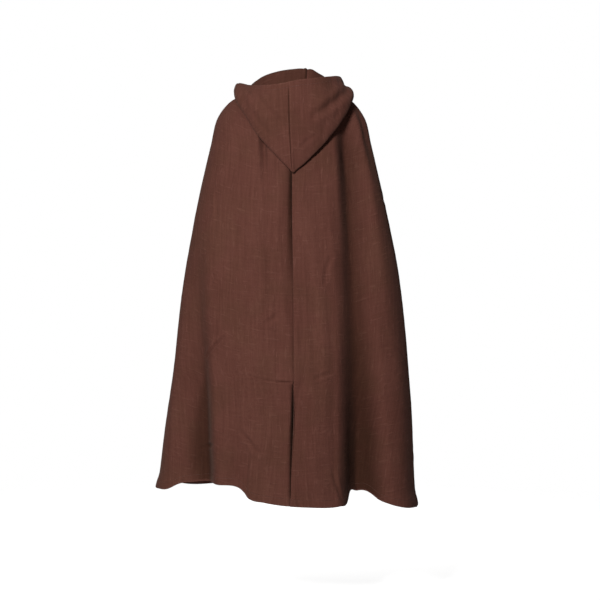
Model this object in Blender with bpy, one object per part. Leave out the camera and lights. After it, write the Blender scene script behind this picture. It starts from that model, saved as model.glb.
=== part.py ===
# Hooded cloak with the hood down, in the hollow shape that it takes on a wearer's shoulders.
# Metres. The front faces -Y, the back +Y, and the wearer's left is +X.
# The origin is the middle of the neck opening, at the height where the shoulders carry it.

import math
from collections import namedtuple

import bmesh
import bpy
import numpy as np
from mathutils import Matrix, Vector

# Cloth and seams
CLOTH = 0.002
SEAM_GAP = 0.0003
NECK_GAP = 0.0009

# Seam lines, in degrees round the body from the centre back
SIDE_SEAM = 97.0
CENTRE_FRONT = 180.0

# The body cloth, from the neck seam down to the hem. "along" is the share of the way down,
# and roundness is 2 for an oval section and more for a squarer one.
Section = namedtuple(
    "Section",
    "name along centre_x half_width back_depth front_depth back_z side_z front_z roundness front_gap",
)
SECTIONS = [
    Section("neck seam", 0.000, 0.000, 0.068, 0.060, 0.058, 0.018, 0.014, -0.045, 2.00, 0.004),
    Section("neck base", 0.025, 0.003, 0.100, 0.082, 0.080, -0.012, -0.002, -0.072, 2.00, 0.005),
    Section("mid shoulder", 0.060, 0.007, 0.145, 0.104, 0.102, -0.058, -0.027, -0.112, 2.10, 0.006),
    Section("shoulder top", 0.100, 0.010, 0.191, 0.122, 0.117, -0.116, -0.055, -0.165, 2.25, 0.008),
    Section("shoulder side", 0.145, 0.011, 0.228, 0.135, 0.127, -0.178, -0.105, -0.222, 2.40, 0.010),
    Section("upper arm", 0.200, 0.011, 0.248, 0.145, 0.136, -0.250, -0.187, -0.290, 2.45, 0.014),
    Section("elbow", 0.310, 0.011, 0.285, 0.167, 0.154, -0.392, -0.350, -0.415, 2.45, 0.022),
    Section("hip", 0.510, 0.007, 0.338, 0.204, 0.184, -0.645, -0.632, -0.650, 2.35, 0.034),
    Section("knee", 0.755, 0.007, 0.372, 0.240, 0.214, -0.958, -0.956, -0.958, 2.30, 0.046),
    Section("hem", 1.000, 0.016, 0.398, 0.270, 0.242, -1.272, -1.270, -1.268, 2.25, 0.058),
]
HEM_FLARE = 0.006
FLARE_START = 0.96
HEM_PULL_POWER = 3


# The height of the hem round the body, as it hangs: higher at the wearer's left
HemPoint = namedtuple("HemPoint", "angle z")
HEM = [
    HemPoint(-180, -1.268),
    HemPoint(-150, -1.256),
    HemPoint(-130, -1.284),
    HemPoint(-110, -1.288),
    HemPoint(-90, -1.305),
    HemPoint(-75, -1.295),
    HemPoint(-58, -1.279),
    HemPoint(-50, -1.266),
    HemPoint(-45, -1.240),
    HemPoint(-40, -1.239),
    HemPoint(-34, -1.260),
    HemPoint(-28, -1.268),
    HemPoint(-10, -1.2735),
    HemPoint(15, -1.262),
    HemPoint(24, -1.250),
    HemPoint(30, -1.2245),
    HemPoint(42, -1.212),
    HemPoint(60, -1.216),
    HemPoint(74, -1.234),
    HemPoint(90, -1.233),
    HemPoint(104, -1.240),
    HemPoint(124, -1.262),
    HemPoint(144, -1.248),
    HemPoint(180, -1.268),
]

# The folds that hang from the shoulders. Angles and widths are in degrees, and start is the
# share of the way down. Depth is outward at the hem, so a trough's is negative.
FOLD_TOP_WIDTH = 0.75
Fold = namedtuple("Fold", "name top_angle hem_angle start depth left_width right_width")
FOLDS = [
    Fold("left lobe", 84, 78, 0.40, 0.010, 16, 14),
    Fold("left back trough", 58, 55, 0.50, -0.044, 12, 17),
    Fold("left step", 30, 27, 0.82, -0.018, 14, 3.5),
    Fold("back lobe", 4, -6, 0.45, 0.016, 24, 30),
    Fold("right back trough", -52, -40, 0.05, -0.072, 8, 9),
    Fold("right lobe", -68, -58, 0.30, 0.018, 14, 16),
    Fold("right side trough", -92, -84, 0.45, -0.016, 10, 10),
    Fold("left side trough", 104, 102, 0.30, -0.048, 10, 10),
    Fold("left front lobe", 122, 124, 0.20, 0.034, 14, 12),
    Fold("left front trough", 143, 144, 0.12, -0.056, 9, 8),
    Fold("left edge lobe", 160, 160, 0.20, 0.020, 9, 10),
    Fold("right front trough", -108, -110, 0.18, -0.052, 10, 10),
    Fold("right front lobe", -128, -130, 0.24, 0.032, 13, 13),
    Fold("right edge trough", -148, -150, 0.15, -0.052, 8, 9),
    Fold("right edge lobe", -164, -165, 0.28, 0.016, 8, 8),
]

# Short hollows that die out again, below the shoulder blades. Depth is at the deepest place.
Hollow = namedtuple("Hollow", "name top_angle low_angle start deepest end depth width")
HOLLOWS = [
    Hollow("left blade hollow", 36, 24, 0.06, 0.16, 0.32, -0.012, 6.5),
    Hollow("right shoulder hollow", -68, -72, 0.09, 0.16, 0.30, -0.008, 8.0),
    Hollow("slanting hollow", 27, 5, 0.22, 0.50, 0.80, -0.004, 9.0),
]

# The dip beside the centre-back seam, where the left panel tucks under the right one's edge
Dip = namedtuple("Dip", "along depth left_width")
SEAM_DIPS = [
    Dip(0.00, 0.000, 0.024),
    Dip(0.16, 0.006, 0.024),
    Dip(0.24, 0.016, 0.024),
    Dip(0.36, 0.014, 0.024),
    Dip(0.43, 0.005, 0.022),
    Dip(0.69, 0.004, 0.018),
    Dip(0.73, 0.011, 0.014),
    Dip(0.90, 0.012, 0.014),
    Dip(1.00, 0.003, 0.014),
]
DIP_RIGHT_WIDTH = 0.005

# The hood. Each row is the cut through it at one angle: it stands up from the neck seam,
# turns down over the shoulders as the under layer, rolls at the rim, and comes back up as the
# top layer to the face edge. Distances run down the body cloth, and lifts stand off it.
HoodRow = namedtuple(
    "HoodRow",
    "angle stand_height stand_out under_lift rim_distance rim_roll top_lift face_distance face_lift",
)
HOOD_LEFT = [
    HoodRow(0, 0.020, 0.012, 0.006, 0.323, 0.004, 0.050, 0.075, 0.083),
    HoodRow(16, 0.020, 0.018, 0.006, 0.277, 0.007, 0.050, 0.080, 0.075),
    HoodRow(34, 0.015, 0.032, 0.007, 0.230, 0.010, 0.046, 0.084, 0.059),
    HoodRow(55, 0.003, 0.047, 0.009, 0.168, 0.013, 0.034, 0.087, 0.036),
    HoodRow(76, -0.008, 0.056, 0.010, 0.128, 0.014, 0.030, 0.086, 0.026),
    HoodRow(100, -0.004, 0.050, 0.010, 0.112, 0.013, 0.030, 0.074, 0.028),
    HoodRow(128, 0.004, 0.034, 0.008, 0.090, 0.011, 0.026, 0.056, 0.026),
    HoodRow(155, 0.008, 0.016, 0.006, 0.060, 0.008, 0.019, 0.036, 0.020),
    HoodRow(180, 0.006, 0.004, 0.005, 0.036, 0.005, 0.015, 0.017, 0.017),
]
HOOD_RIGHT = [
    HoodRow(0, 0.020, 0.012, 0.006, 0.323, 0.004, 0.050, 0.075, 0.083),
    HoodRow(16, 0.018, 0.014, 0.006, 0.291, 0.007, 0.053, 0.072, 0.087),
    HoodRow(34, 0.009, 0.024, 0.007, 0.248, 0.010, 0.053, 0.070, 0.079),
    HoodRow(55, 0.000, 0.036, 0.009, 0.180, 0.014, 0.042, 0.066, 0.060),
    HoodRow(76, -0.008, 0.044, 0.010, 0.128, 0.014, 0.034, 0.062, 0.046),
    HoodRow(100, -0.004, 0.042, 0.010, 0.112, 0.013, 0.032, 0.060, 0.042),
    HoodRow(128, 0.004, 0.030, 0.008, 0.092, 0.011, 0.028, 0.052, 0.034),
    HoodRow(155, 0.008, 0.014, 0.006, 0.060, 0.008, 0.019, 0.036, 0.022),
    HoodRow(180, 0.006, 0.004, 0.005, 0.036, 0.005, 0.015, 0.017, 0.017),
]

# The hood's cut between the rows above: shares of the stand, and of the way out to the rim
STAND_BULGE = 0.25
STAND_MIDDLE_HEIGHT = 0.6
STAND_MIDDLE_OUT = 0.35
UNDER_START = 0.36
UNDER_START_LIFT = 0.3
UNDER_MIDDLE = 0.68
UNDER_MIDDLE_LIFT = 0.002
HOOD_REACH = 0.4
HOOD_REACH_STEPS = 81

# Steps for finding the cloth's slope
ANGLE_STEP = 0.3
ALONG_STEP = 0.005

# How finely each piece is cut into faces
TAB_ROWS = (0.036, 0.050, 0.064)
UPPER_ROWS = (0, 0.018) + TAB_ROWS + (0.085, 0.11, 0.14, 0.175, 0.215, 0.265)
LOWER_ROWS = (0.33, 0.40, 0.48, 0.57, 0.66, 0.75, 0.84, 0.92, 0.975, 1)
BACK_COLUMNS = 26
FRONT_COLUMNS = 16
LEFT_SEAM_SHARES = (0.012, 0.024)
RIGHT_SEAM_SHARES = (0.006, 0.018)
HOOD_COLUMNS = 20
HOOD_SPANS = (1, 2, 2, 2, 2, 2, 2, 3, 3)

# Throat tab and button
TAB_HALF_ANGLE = 24.0
TAB_COLUMNS = 12
TAB_LIFT = 0.0009
BUTTON_RADIUS = 0.011
BUTTON_THICK = 0.0035
BUTTON_RIM = 0.0025
BUTTON_DISH = 0.0012
BUTTON_EDGE = 0.0008
BUTTON_ANGLE = -170.0
BUTTON_STEPS = 20

BROWN = (0.102, 0.040, 0.028, 1.0)
BROWN_SHADE = (0.085, 0.034, 0.024, 1.0)
HORN = (0.030, 0.016, 0.010, 1.0)
CLOTH_ROUGHNESS = 0.95
HORN_ROUGHNESS = 0.4


def smooth(where, knots, values):
    """Values on a smooth curve through the knots."""
    knots = np.asarray(knots, float)
    values = np.asarray(values, float)
    slopes = np.gradient(values, knots)
    where = np.clip(where, knots[0], knots[-1])
    i = np.clip(np.searchsorted(knots, where, side="right") - 1, 0, len(knots) - 2)
    span = knots[i + 1] - knots[i]
    t = (where - knots[i]) / span
    start = (1 + 2 * t) * (1 - t) ** 2 * values[i] + t * (1 - t) ** 2 * span * slopes[i]
    end = t * t * (3 - 2 * t) * values[i + 1] - t * t * (1 - t) * span * slopes[i + 1]
    return start + end


def column(rows, name):
    return [getattr(row, name) for row in rows]


def eased(share):
    """0 up to 0, 1 from 1 on, and a smooth rise between."""
    share = np.clip(share, 0, 1)
    return share * share * (3 - 2 * share)


def bump(offset, left_width, right_width):
    """A rounded crest, 1 at offset 0 and 0 past its own width on each side."""
    width = np.where(offset > 0, left_width, right_width)
    share = np.clip(np.abs(offset) / width, 0, 1)
    return 0.5 + 0.5 * np.cos(math.pi * share)


def section(along, name):
    return smooth(along, column(SECTIONS, "along"), column(SECTIONS, name))


def plain_body(angle, along):
    """The body cloth without folds: its points, and the outward level direction there."""
    turn = np.radians(angle)
    side, back = np.sin(turn), np.cos(turn)
    half_width = section(along, "half_width")
    depth = np.where(back > 0, section(along, "back_depth"), section(along, "front_depth"))
    power = section(along, "roundness")
    reach = ((np.abs(side) / half_width) ** power + (np.abs(back) / depth) ** power) ** (-1 / power)
    end_z = np.where(back > 0, section(along, "back_z"), section(along, "front_z"))
    x = section(along, "centre_x") + reach * side
    y = reach * back
    z = section(along, "side_z") * side**2 + end_z * back**2
    out_x = np.sign(side) * np.abs(reach * side / half_width) ** (power - 1) / half_width
    out_y = np.sign(back) * np.abs(reach * back / depth) ** (power - 1) / depth
    size = np.hypot(out_x, out_y)
    points = np.stack(np.broadcast_arrays(x, y, z), -1)
    outward = np.stack(np.broadcast_arrays(out_x / size, out_y / size, 0 * z), -1)
    return points, outward, reach


def fold_offset(angle, along):
    """How far the folds and hollows push the cloth out."""
    angle = (angle + 180) % 360 - 180
    out = np.zeros(np.broadcast(angle, along).shape)
    for fold in FOLDS:
        centre = fold.top_angle + (fold.hem_angle - fold.top_angle) * along
        growth = np.clip((along - fold.start) / (1 - fold.start), 0, 1)
        spread = FOLD_TOP_WIDTH + (1 - FOLD_TOP_WIDTH) * along
        crest = bump(angle - centre, fold.left_width * spread, fold.right_width * spread)
        out += fold.depth * growth * crest
    for hollow in HOLLOWS:
        share = np.clip((along - hollow.start) / (hollow.end - hollow.start), 0, 1)
        centre = hollow.top_angle + (hollow.low_angle - hollow.top_angle) * share
        rise = eased((along - hollow.start) / (hollow.deepest - hollow.start))
        fall = eased((hollow.end - along) / (hollow.end - hollow.deepest))
        out += hollow.depth * rise * fall * bump(angle - centre, hollow.width, hollow.width)
    return out


def seam_dip(angle, along, reach):
    """The dip at the centre-back seam: gentle on the left and steep on the right."""
    across = np.radians(angle) * reach
    dips = column(SEAM_DIPS, "along")
    left_width = smooth(along, dips, column(SEAM_DIPS, "left_width"))
    width = np.where(across > 0, left_width, DIP_RIGHT_WIDTH)
    return smooth(along, dips, column(SEAM_DIPS, "depth")) * eased(1 - np.abs(across) / width)


def body(angle, along):
    """The outer face of the body cloth, folds included."""
    angle, along = np.broadcast_arrays(np.asarray(angle, float), np.asarray(along, float))
    points, outward, reach = plain_body(angle, along)
    side = np.abs(np.sin(np.radians(angle)))
    flare = HEM_FLARE * eased((along - FLARE_START) / (1 - FLARE_START)) * side
    out = fold_offset(angle, along) - seam_dip(angle, along, reach) + flare
    points = points + outward * out[..., None]
    wrapped = (angle + 180) % 360 - 180
    hem_z = smooth(wrapped, column(HEM, "angle"), column(HEM, "z"))
    plain_hem = plain_body(angle, np.ones_like(along))[0][..., 2]
    points[..., 2] += (hem_z - plain_hem) * along**HEM_PULL_POWER
    return points


def unit(vectors):
    return vectors / np.linalg.norm(vectors, axis=-1, keepdims=True)


def outward_of(surface, angle, along):
    """Unit normals of surface(angle, along), on its outer side."""
    across = surface(angle + ANGLE_STEP, along) - surface(angle - ANGLE_STEP, along)
    above, below = np.clip(along - ALONG_STEP, 0, 1), np.clip(along + ALONG_STEP, 0, 1)
    return unit(np.cross(across, surface(angle, below) - surface(angle, above)))


def plain_points(angle, along):
    return plain_body(angle, along)[0]


def on_body(angle, distance, lift):
    """A point this far down the plain body cloth from the neck seam, lifted off it."""
    steps = np.linspace(0, HOOD_REACH, HOOD_REACH_STEPS)
    line = plain_points(np.full_like(steps, angle), steps)
    run = np.concatenate([[0], np.cumsum(np.linalg.norm(np.diff(line, axis=0), axis=1))])
    place = np.array([angle]), np.array([np.interp(distance, run, steps)])
    return plain_points(*place)[0] + outward_of(plain_points, *place)[0] * lift


def hood_line(rows, side, turn):
    """The points that the hood's cut at this angle runs through, from neck seam to face edge."""
    angle = side * turn
    row = {name: float(smooth(turn, column(rows, "angle"), column(rows, name))) for name in HoodRow._fields}
    seam = on_body(angle, 0, 0)
    up = np.array([0, 0, 1.0])
    away = unit(np.array([math.sin(math.radians(angle)), math.cos(math.radians(angle)), 0]))
    high, out = row["stand_height"], row["stand_out"]
    rim, roll, under = row["rim_distance"], row["rim_roll"], row["under_lift"]
    top = under + 2 * roll
    middle = 0.5 * (rim - roll + row["face_distance"])
    return np.array(
        [
            seam + up * NECK_GAP,
            seam + up * (STAND_MIDDLE_HEIGHT * high + STAND_BULGE * out) + away * STAND_MIDDLE_OUT * out,
            seam + up * high + away * out,
            on_body(angle, out + UNDER_START * (rim - out), under + max(UNDER_START_LIFT * high, 0)),
            on_body(angle, out + UNDER_MIDDLE * (rim - out), under + UNDER_MIDDLE_LIFT),
            on_body(angle, rim - roll, under),
            on_body(angle, rim, under + roll),
            on_body(angle, rim - roll, top),
            on_body(angle, middle, row["top_lift"]),
            on_body(angle, row["face_distance"], row["face_lift"]),
        ]
    )


def sampled(points, spans):
    """Points on a smooth curve through the given ones, with this many steps in each span."""
    run = np.concatenate([[0], np.cumsum(np.linalg.norm(np.diff(points, axis=0), axis=1) ** 0.5)])
    where = [run[i] + (run[i + 1] - run[i]) * k / n for i, n in enumerate(spans) for k in range(n)]
    where.append(run[-1])
    where = np.array(where)
    return np.stack([smooth(where, run, points[:, axis]) for axis in range(3)], -1)


def grid_normals(points):
    """Unit normals at the points of a grid, from their neighbours along its rows and columns."""
    return unit(np.cross(np.gradient(points, axis=0), np.gradient(points, axis=1)))


def signed_volume(vertices, faces):
    a, b, c = (vertices[faces[:, k]] for k in range(3))
    return float((a * np.cross(b, c)).sum() / 6)


def wall(name, outer, inner, colour, roughness=CLOTH_ROUGHNESS):
    """A closed solid between two grids of points, which both have rows and columns."""
    rows, columns = outer.shape[:2]
    vertices = np.concatenate([outer.reshape(-1, 3), inner.reshape(-1, 3)])
    index = np.arange(rows * columns).reshape(rows, columns)
    layer = rows * columns
    faces = []
    for r in range(rows - 1):
        for c in range(columns - 1):
            a, b, d, e = index[r, c], index[r, c + 1], index[r + 1, c + 1], index[r + 1, c]
            short = np.linalg.norm(vertices[a] - vertices[d]) < np.linalg.norm(vertices[b] - vertices[e])
            pair = [(a, b, d), (a, d, e)] if short else [(a, b, e), (b, d, e)]
            faces += pair
            faces += [(p[0] + layer, p[2] + layer, p[1] + layer) for p in pair]
    rim = list(index[0, :]) + list(index[1:, -1]) + list(index[-1, -2::-1]) + list(index[-2:0:-1, 0])
    for a, b in zip(rim, rim[1:] + rim[:1]):
        faces += [(b, a, a + layer), (b, a + layer, b + layer)]
    faces = np.array(faces)
    if signed_volume(vertices, faces) < 0:
        faces = faces[:, ::-1]
    mesh = bpy.data.meshes.new(name)
    mesh.from_pydata(vertices.tolist(), [], faces.tolist())
    mesh.update()
    return finished(name, mesh, colour, roughness)


def finished(name, mesh, colour, roughness):
    """The mesh as a smooth-shaded object with a material of its own."""
    mesh.shade_smooth()
    mesh.set_sharp_from_angle(angle=math.radians(40))
    material = bpy.data.materials.new(name + "_material")
    material.use_nodes = True
    shader = material.node_tree.nodes["Principled BSDF"]
    shader.inputs["Base Color"].default_value = colour
    shader.inputs["Roughness"].default_value = roughness
    mesh.materials.append(material)
    made = bpy.data.objects.new(name, mesh)
    bpy.context.scene.collection.objects.link(made)
    return made


def front_edge(along):
    """The angle of the front edge at each row, from the width of the front opening."""
    along = np.asarray(along, float)
    reach = section(along, "front_depth")
    return CENTRE_FRONT - np.degrees(section(along, "front_gap") / reach)


def body_panel(name, side, first, last, columns, seam_columns=()):
    """One body panel between two seam lines, given as functions from row to angle."""
    along = np.array(UPPER_ROWS + LOWER_ROWS)[:, None]
    share = np.array(sorted({*np.linspace(0, 1, columns + 1).tolist(), *seam_columns}))[None, :]
    start, end = first(along), last(along)
    angle = side * (start + (end - start) * share)
    reach = plain_body(angle, along)[2]
    inset = np.degrees(0.5 * SEAM_GAP / reach)
    angle[:, 0] += side * inset[:, 0]
    angle[:, -1] -= side * inset[:, -1]
    angle, along = np.broadcast_arrays(angle, along)
    outer = body(angle, along)
    normal = outward_of(body, angle, along)
    return wall(name, outer, outer - normal * CLOTH, BROWN)


def hood_half(name, rows, side):
    """One half of the hood, from the centre seam round to the throat."""
    last = float(front_edge(0.0))
    turns = last * np.linspace(0, 1, HOOD_COLUMNS + 1)
    grid = np.stack([sampled(hood_line(rows, side, turn), HOOD_SPANS) for turn in turns], 1)
    normal = grid_normals(grid) * side
    normal[:, 0] = unit(normal[:, 0] * (0, 1, 1))
    grid[:, 0, 0] += side * 0.5 * SEAM_GAP
    return wall(name, grid, grid - normal * CLOTH, BROWN)


def throat_tab():
    """The strap across the front opening, made from the body cloth's own points, moved out."""
    across = np.linspace(CENTRE_FRONT - TAB_HALF_ANGLE, CENTRE_FRONT + TAB_HALF_ANGLE, TAB_COLUMNS + 1)
    angle, along = np.meshgrid(across, TAB_ROWS)
    normal = outward_of(body, angle, along)
    outer = body(angle, along) + normal * (TAB_LIFT + CLOTH)
    return wall("throat_tab", outer, outer - normal * CLOTH, BROWN_SHADE)


def throat_button():
    """A turned button with a raised rim, lying on the tab."""
    angle, along = np.array([BUTTON_ANGLE]), np.array([TAB_ROWS[1]])
    normal = outward_of(body, angle, along)[0]
    base = body(angle, along)[0] + normal * (TAB_LIFT + CLOTH + SEAM_GAP)
    turned = Vector(normal).to_track_quat("Z", "Y").to_matrix().to_4x4()
    dish = BUTTON_RADIUS - BUTTON_RIM
    profile = [
        (0.0, 0.0),
        (BUTTON_RADIUS - BUTTON_EDGE, 0.0),
        (BUTTON_RADIUS, BUTTON_EDGE),
        (BUTTON_RADIUS, BUTTON_THICK - BUTTON_EDGE),
        (BUTTON_RADIUS - BUTTON_EDGE, BUTTON_THICK),
        (dish, BUTTON_THICK),
        (dish - BUTTON_DISH, BUTTON_THICK - BUTTON_DISH),
        (0.0, BUTTON_THICK - BUTTON_DISH),
    ]
    shape = bmesh.new()
    ring = [shape.verts.new((r, 0, z)) for r, z in profile]
    edges = [shape.edges.new(pair) for pair in zip(ring, ring[1:])]
    axis = (0, 0, 1)
    bmesh.ops.spin(shape, geom=ring + edges, cent=(0, 0, 0), axis=axis, angle=math.tau, steps=BUTTON_STEPS)
    bmesh.ops.remove_doubles(shape, verts=shape.verts, dist=1e-5)
    bmesh.ops.recalc_face_normals(shape, faces=shape.faces)
    bmesh.ops.transform(shape, matrix=Matrix.Translation(base) @ turned, verts=shape.verts)
    mesh = bpy.data.meshes.new("throat_button")
    shape.to_mesh(mesh)
    shape.free()
    return finished("throat_button", mesh, HORN, HORN_ROUGHNESS)


def centre_back(along):
    return 0.0 * along


def side_seam(along):
    return SIDE_SEAM + 0.0 * along


def main():
    for old in list(bpy.data.objects):
        bpy.data.objects.remove(old)
    for name, side in (("left", 1), ("right", -1)):
        near_seam = LEFT_SEAM_SHARES if side > 0 else RIGHT_SEAM_SHARES
        body_panel("back_" + name, side, centre_back, side_seam, BACK_COLUMNS, near_seam)
        body_panel("front_" + name, side, side_seam, front_edge, FRONT_COLUMNS)
        hood_half("hood_" + name, HOOD_LEFT if side > 0 else HOOD_RIGHT, side)
    throat_tab()
    throat_button()


main()
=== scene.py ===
import math
import bpy
import numpy as np
from mathutils import Matrix, Vector


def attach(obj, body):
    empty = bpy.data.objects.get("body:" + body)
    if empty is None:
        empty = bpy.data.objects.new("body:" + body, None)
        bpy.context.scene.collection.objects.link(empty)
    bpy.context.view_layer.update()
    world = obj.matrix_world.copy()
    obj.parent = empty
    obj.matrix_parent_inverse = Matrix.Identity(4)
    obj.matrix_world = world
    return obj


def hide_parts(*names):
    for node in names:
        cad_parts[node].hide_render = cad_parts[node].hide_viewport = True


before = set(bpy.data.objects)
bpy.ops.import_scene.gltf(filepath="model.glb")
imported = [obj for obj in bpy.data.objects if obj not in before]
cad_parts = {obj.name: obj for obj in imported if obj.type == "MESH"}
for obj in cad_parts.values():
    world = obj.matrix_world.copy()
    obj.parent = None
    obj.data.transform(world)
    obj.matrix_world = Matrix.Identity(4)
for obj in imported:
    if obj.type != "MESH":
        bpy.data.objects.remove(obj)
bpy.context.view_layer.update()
print("frame loaded:", ", ".join(sorted(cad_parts)))

# Cut and hang of the body cloth, from the neck seam down to the hem, in metres.
# "along" is the share of the way down, and the other lists have one value for each of its shares.
bodyForm = {
    "along": [0, 0.025, 0.060, 0.100, 0.145, 0.200, 0.310, 0.510, 0.755, 1],
    "centreX": [0, 0.003, 0.007, 0.010, 0.011, 0.011, 0.011, 0.007, 0.007, 0.016],
    "halfWidth": [0.068, 0.100, 0.145, 0.191, 0.228, 0.248, 0.285, 0.338, 0.372, 0.398],
    "backDepth": [0.060, 0.082, 0.104, 0.122, 0.135, 0.145, 0.167, 0.204, 0.240, 0.270],
    "frontDepth": [0.058, 0.080, 0.102, 0.117, 0.127, 0.136, 0.154, 0.184, 0.214, 0.242],
    "backZ": [0.018, -0.012, -0.058, -0.116, -0.178, -0.250, -0.392, -0.645, -0.958, -1.272],
    "sideZ": [0.014, -0.002, -0.027, -0.055, -0.105, -0.187, -0.350, -0.632, -0.956, -1.270],
    "frontZ": [-0.045, -0.072, -0.112, -0.165, -0.222, -0.290, -0.415, -0.650, -0.958, -1.268],
    "roundness": [2.00, 2.00, 2.10, 2.25, 2.40, 2.45, 2.45, 2.35, 2.30, 2.25],
    "frontGap": [0.004, 0.005, 0.006, 0.008, 0.010, 0.014, 0.022, 0.034, 0.046, 0.058],
    "sideSeam": 97.0,
    "hemFlare": 0.006,
    "flareStart": 0.96,
    "hemPull": 3,
    "foldTopWidth": 0.75,
}
hemLine = [  # angle round the body, height of the hem there
    (-180, -1.268), (-150, -1.256), (-130, -1.284), (-110, -1.288), (-90, -1.305), (-75, -1.295),
    (-60, -1.282), (-56, -1.273), (-54, -1.264), (-52, -1.245), (-47, -1.241), (-41, -1.241),
    (-38, -1.266), (-30, -1.274), (-10, -1.2735), (15, -1.262), (24, -1.251), (30, -1.2225),
    (42, -1.212), (59, -1.2125), (65, -1.219), (69, -1.235), (76, -1.239), (90, -1.234),
    (104, -1.240), (124, -1.262), (144, -1.248), (180, -1.268),
]
bodyFolds = [  # top angle, hem angle, start, depth at the hem, width to the left, width to the right
    (84, 78, 0.40, 0.010, 16, 14),
    (84, 53, 0.36, -0.069, 18, 13),
    (30, 27, 0.82, -0.018, 14, 3.5),
    (4, -6, 0.45, 0.016, 24, 30),
    (-49.5, -46, 0.24, -0.094, 18, 12),
    (-70, -62, 0.30, 0.018, 12, 14),
    (-92, -84, 0.45, -0.016, 10, 10),
    (104, 102, 0.30, -0.048, 10, 10),
    (122, 124, 0.20, 0.034, 14, 12),
    (143, 144, 0.12, -0.056, 9, 8),
    (160, 160, 0.20, 0.020, 9, 10),
    (-108, -110, 0.18, -0.052, 10, 10),
    (-128, -130, 0.24, 0.032, 13, 13),
    (-148, -150, 0.15, -0.052, 8, 9),
    (-164, -165, 0.28, 0.016, 8, 8),
]
bodyHollows = [  # top angle, low angle, start, deepest, end, depth, width
    (37, 25, 0.07, 0.15, 0.30, -0.018, 5.5),
    (-60.5, -49, 0.07, 0.24, 0.68, -0.046, 14.0),
    (-76, -76, 0.09, 0.16, 0.30, -0.008, 8.0),
    (27, 5, 0.22, 0.50, 0.80, -0.007, 9.0),
    (47, 38, 0.08, 0.26, 0.62, -0.006, 7.0),
    (-13, -21, 0.30, 0.62, 0.98, -0.005, 6.0),
    (40, 31, 0.62, 0.86, 1.05, -0.006, 5.0),
    (-50, -52, 0.72, 1.00, 1.30, -0.018, 8.0),
]
seamDips = {  # beside the centre-back seam, where the left panel tucks under the right one's edge
    "along": [0, 0.14, 0.24, 0.36, 0.50, 0.68, 0.714, 0.728, 0.90, 1],
    "depth": [0, 0.008, 0.020, 0.020, 0.017, 0.010, 0.008, 0.015, 0.019, 0.008],
    "leftWidth": [0.026, 0.028, 0.030, 0.050, 0.080, 0.050, 0.034, 0.025, 0.021, 0.016],
    "rightWidth": 0.0055,
    "sharpness": 2.2,
    "drift": 0.0045,
    "driftWidth": 0.05,
    "driftStart": 0.15,
    "overhang": 0.0048,
    "overhangDepth": 0.016,
    "edgeReach": 0.0035,
    "edgeFade": 0.02,
}

# What the cloth does between its big folds: soft ripples, linen creases and a faint crumple
clothLife = {
    "ripples": [  # spacing round the body, spacing down it, height, share down where they start, seed
        (0.105, 0.95, 0.0052, 0.05, 11),
        (0.056, 0.50, 0.0030, 0.08, 12),
        (0.030, 0.24, 0.0009, 0.05, 13),
        (0.085, 0.16, 0.0013, 0.04, 14),
    ],
    "rippleGrowth": 0.8,
    "sway": (0.3, 0.4, 0.35),  # spacing round the body and down it, and size, of the ripples' own wander
    "crumple": (0.018, 0.022, 0.00022, 15),
    "fineCrumple": (2.1, 1.9, 0.6),  # how much finer round and down, and how high beside the other
    "crumpleShift": 7.3,
    "ringRadius": 0.33,
    "fullLength": 1.33,
    "tuckLine": 0.718,
    "grainSmooth": 24,
    "neckCalm": 0.10,
    "seamCalm": 0.035,
    "edgeCalm": 0.03,
    "edgeLife": 0.35,
}
bodyCreases = [  # depth, width, then the angle and the share down of each point
    (0.0068, 0.0046, [(47.0, 0.628), (50.5, 0.643), (54.0, 0.660), (57.8, 0.677)]),
    (0.0030, 0.0046, [(55.5, 0.477), (56.8, 0.490), (58.0, 0.501)]),
    (0.0034, 0.0055, [(59.0, 0.910), (54.5, 0.905), (48.2, 0.899)]),
    (0.0038, 0.0062, [(31.5, 0.858), (25.8, 0.872), (20.5, 0.888)]),
    (0.0030, 0.0055, [(-16.5, 0.707), (-21.2, 0.702), (-26.5, 0.697)]),
    (0.0034, 0.0058, [(-26.2, 0.915), (-29.0, 0.952), (-31.8, 0.986)]),
    (0.0036, 0.0030, [(11.0, 0.7185), (5.5, 0.7178), (-0.5, 0.718)]),
    (0.0018, 0.0030, [(30.0, 0.7160), (20.0, 0.7165), (9.0, 0.7180)]),
    (0.0020, 0.0080, [(62.0, 0.300), (60.0, 0.345), (59.5, 0.400)]),
    (0.0024, 0.0070, [(12.0, 0.560), (16.0, 0.575), (21.0, 0.583)]),
    (0.0024, 0.0070, [(-33.0, 0.430), (-29.0, 0.455), (-26.5, 0.490)]),
    (0.0018, 0.0060, [(-66.0, 0.640), (-71.0, 0.655), (-75.0, 0.678)]),
    (0.0014, 0.0080, [(-80.0, 0.300), (-86.0, 0.315), (-94.0, 0.322)]),
    (0.0016, 0.0070, [(88.0, 0.350), (94.0, 0.362), (101.0, 0.366)]),
    (0.0020, 0.0060, [(112.0, 0.600), (117.0, 0.616), (123.0, 0.640)]),
    (0.0018, 0.0070, [(-116.0, 0.560), (-121.0, 0.580), (-128.0, 0.592)]),
    (0.0020, 0.0065, [(150.0, 0.470), (156.0, 0.482), (163.0, 0.486)]),
    (0.0018, 0.0065, [(-150.0, 0.780), (-156.0, 0.795), (-163.0, 0.800)]),
    (0.0016, 0.0060, [(128.0, 0.850), (122.0, 0.868), (117.0, 0.892)]),
    (0.0016, 0.0060, [(-100.0, 0.860), (-94.0, 0.874), (-90.0, 0.900)]),
]

creaseShape = {"reach": 4, "ridgeAway": 1.9, "ridgeLift": 0.45, "endFade": 0.12, "fadePower": 0.8}

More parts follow.
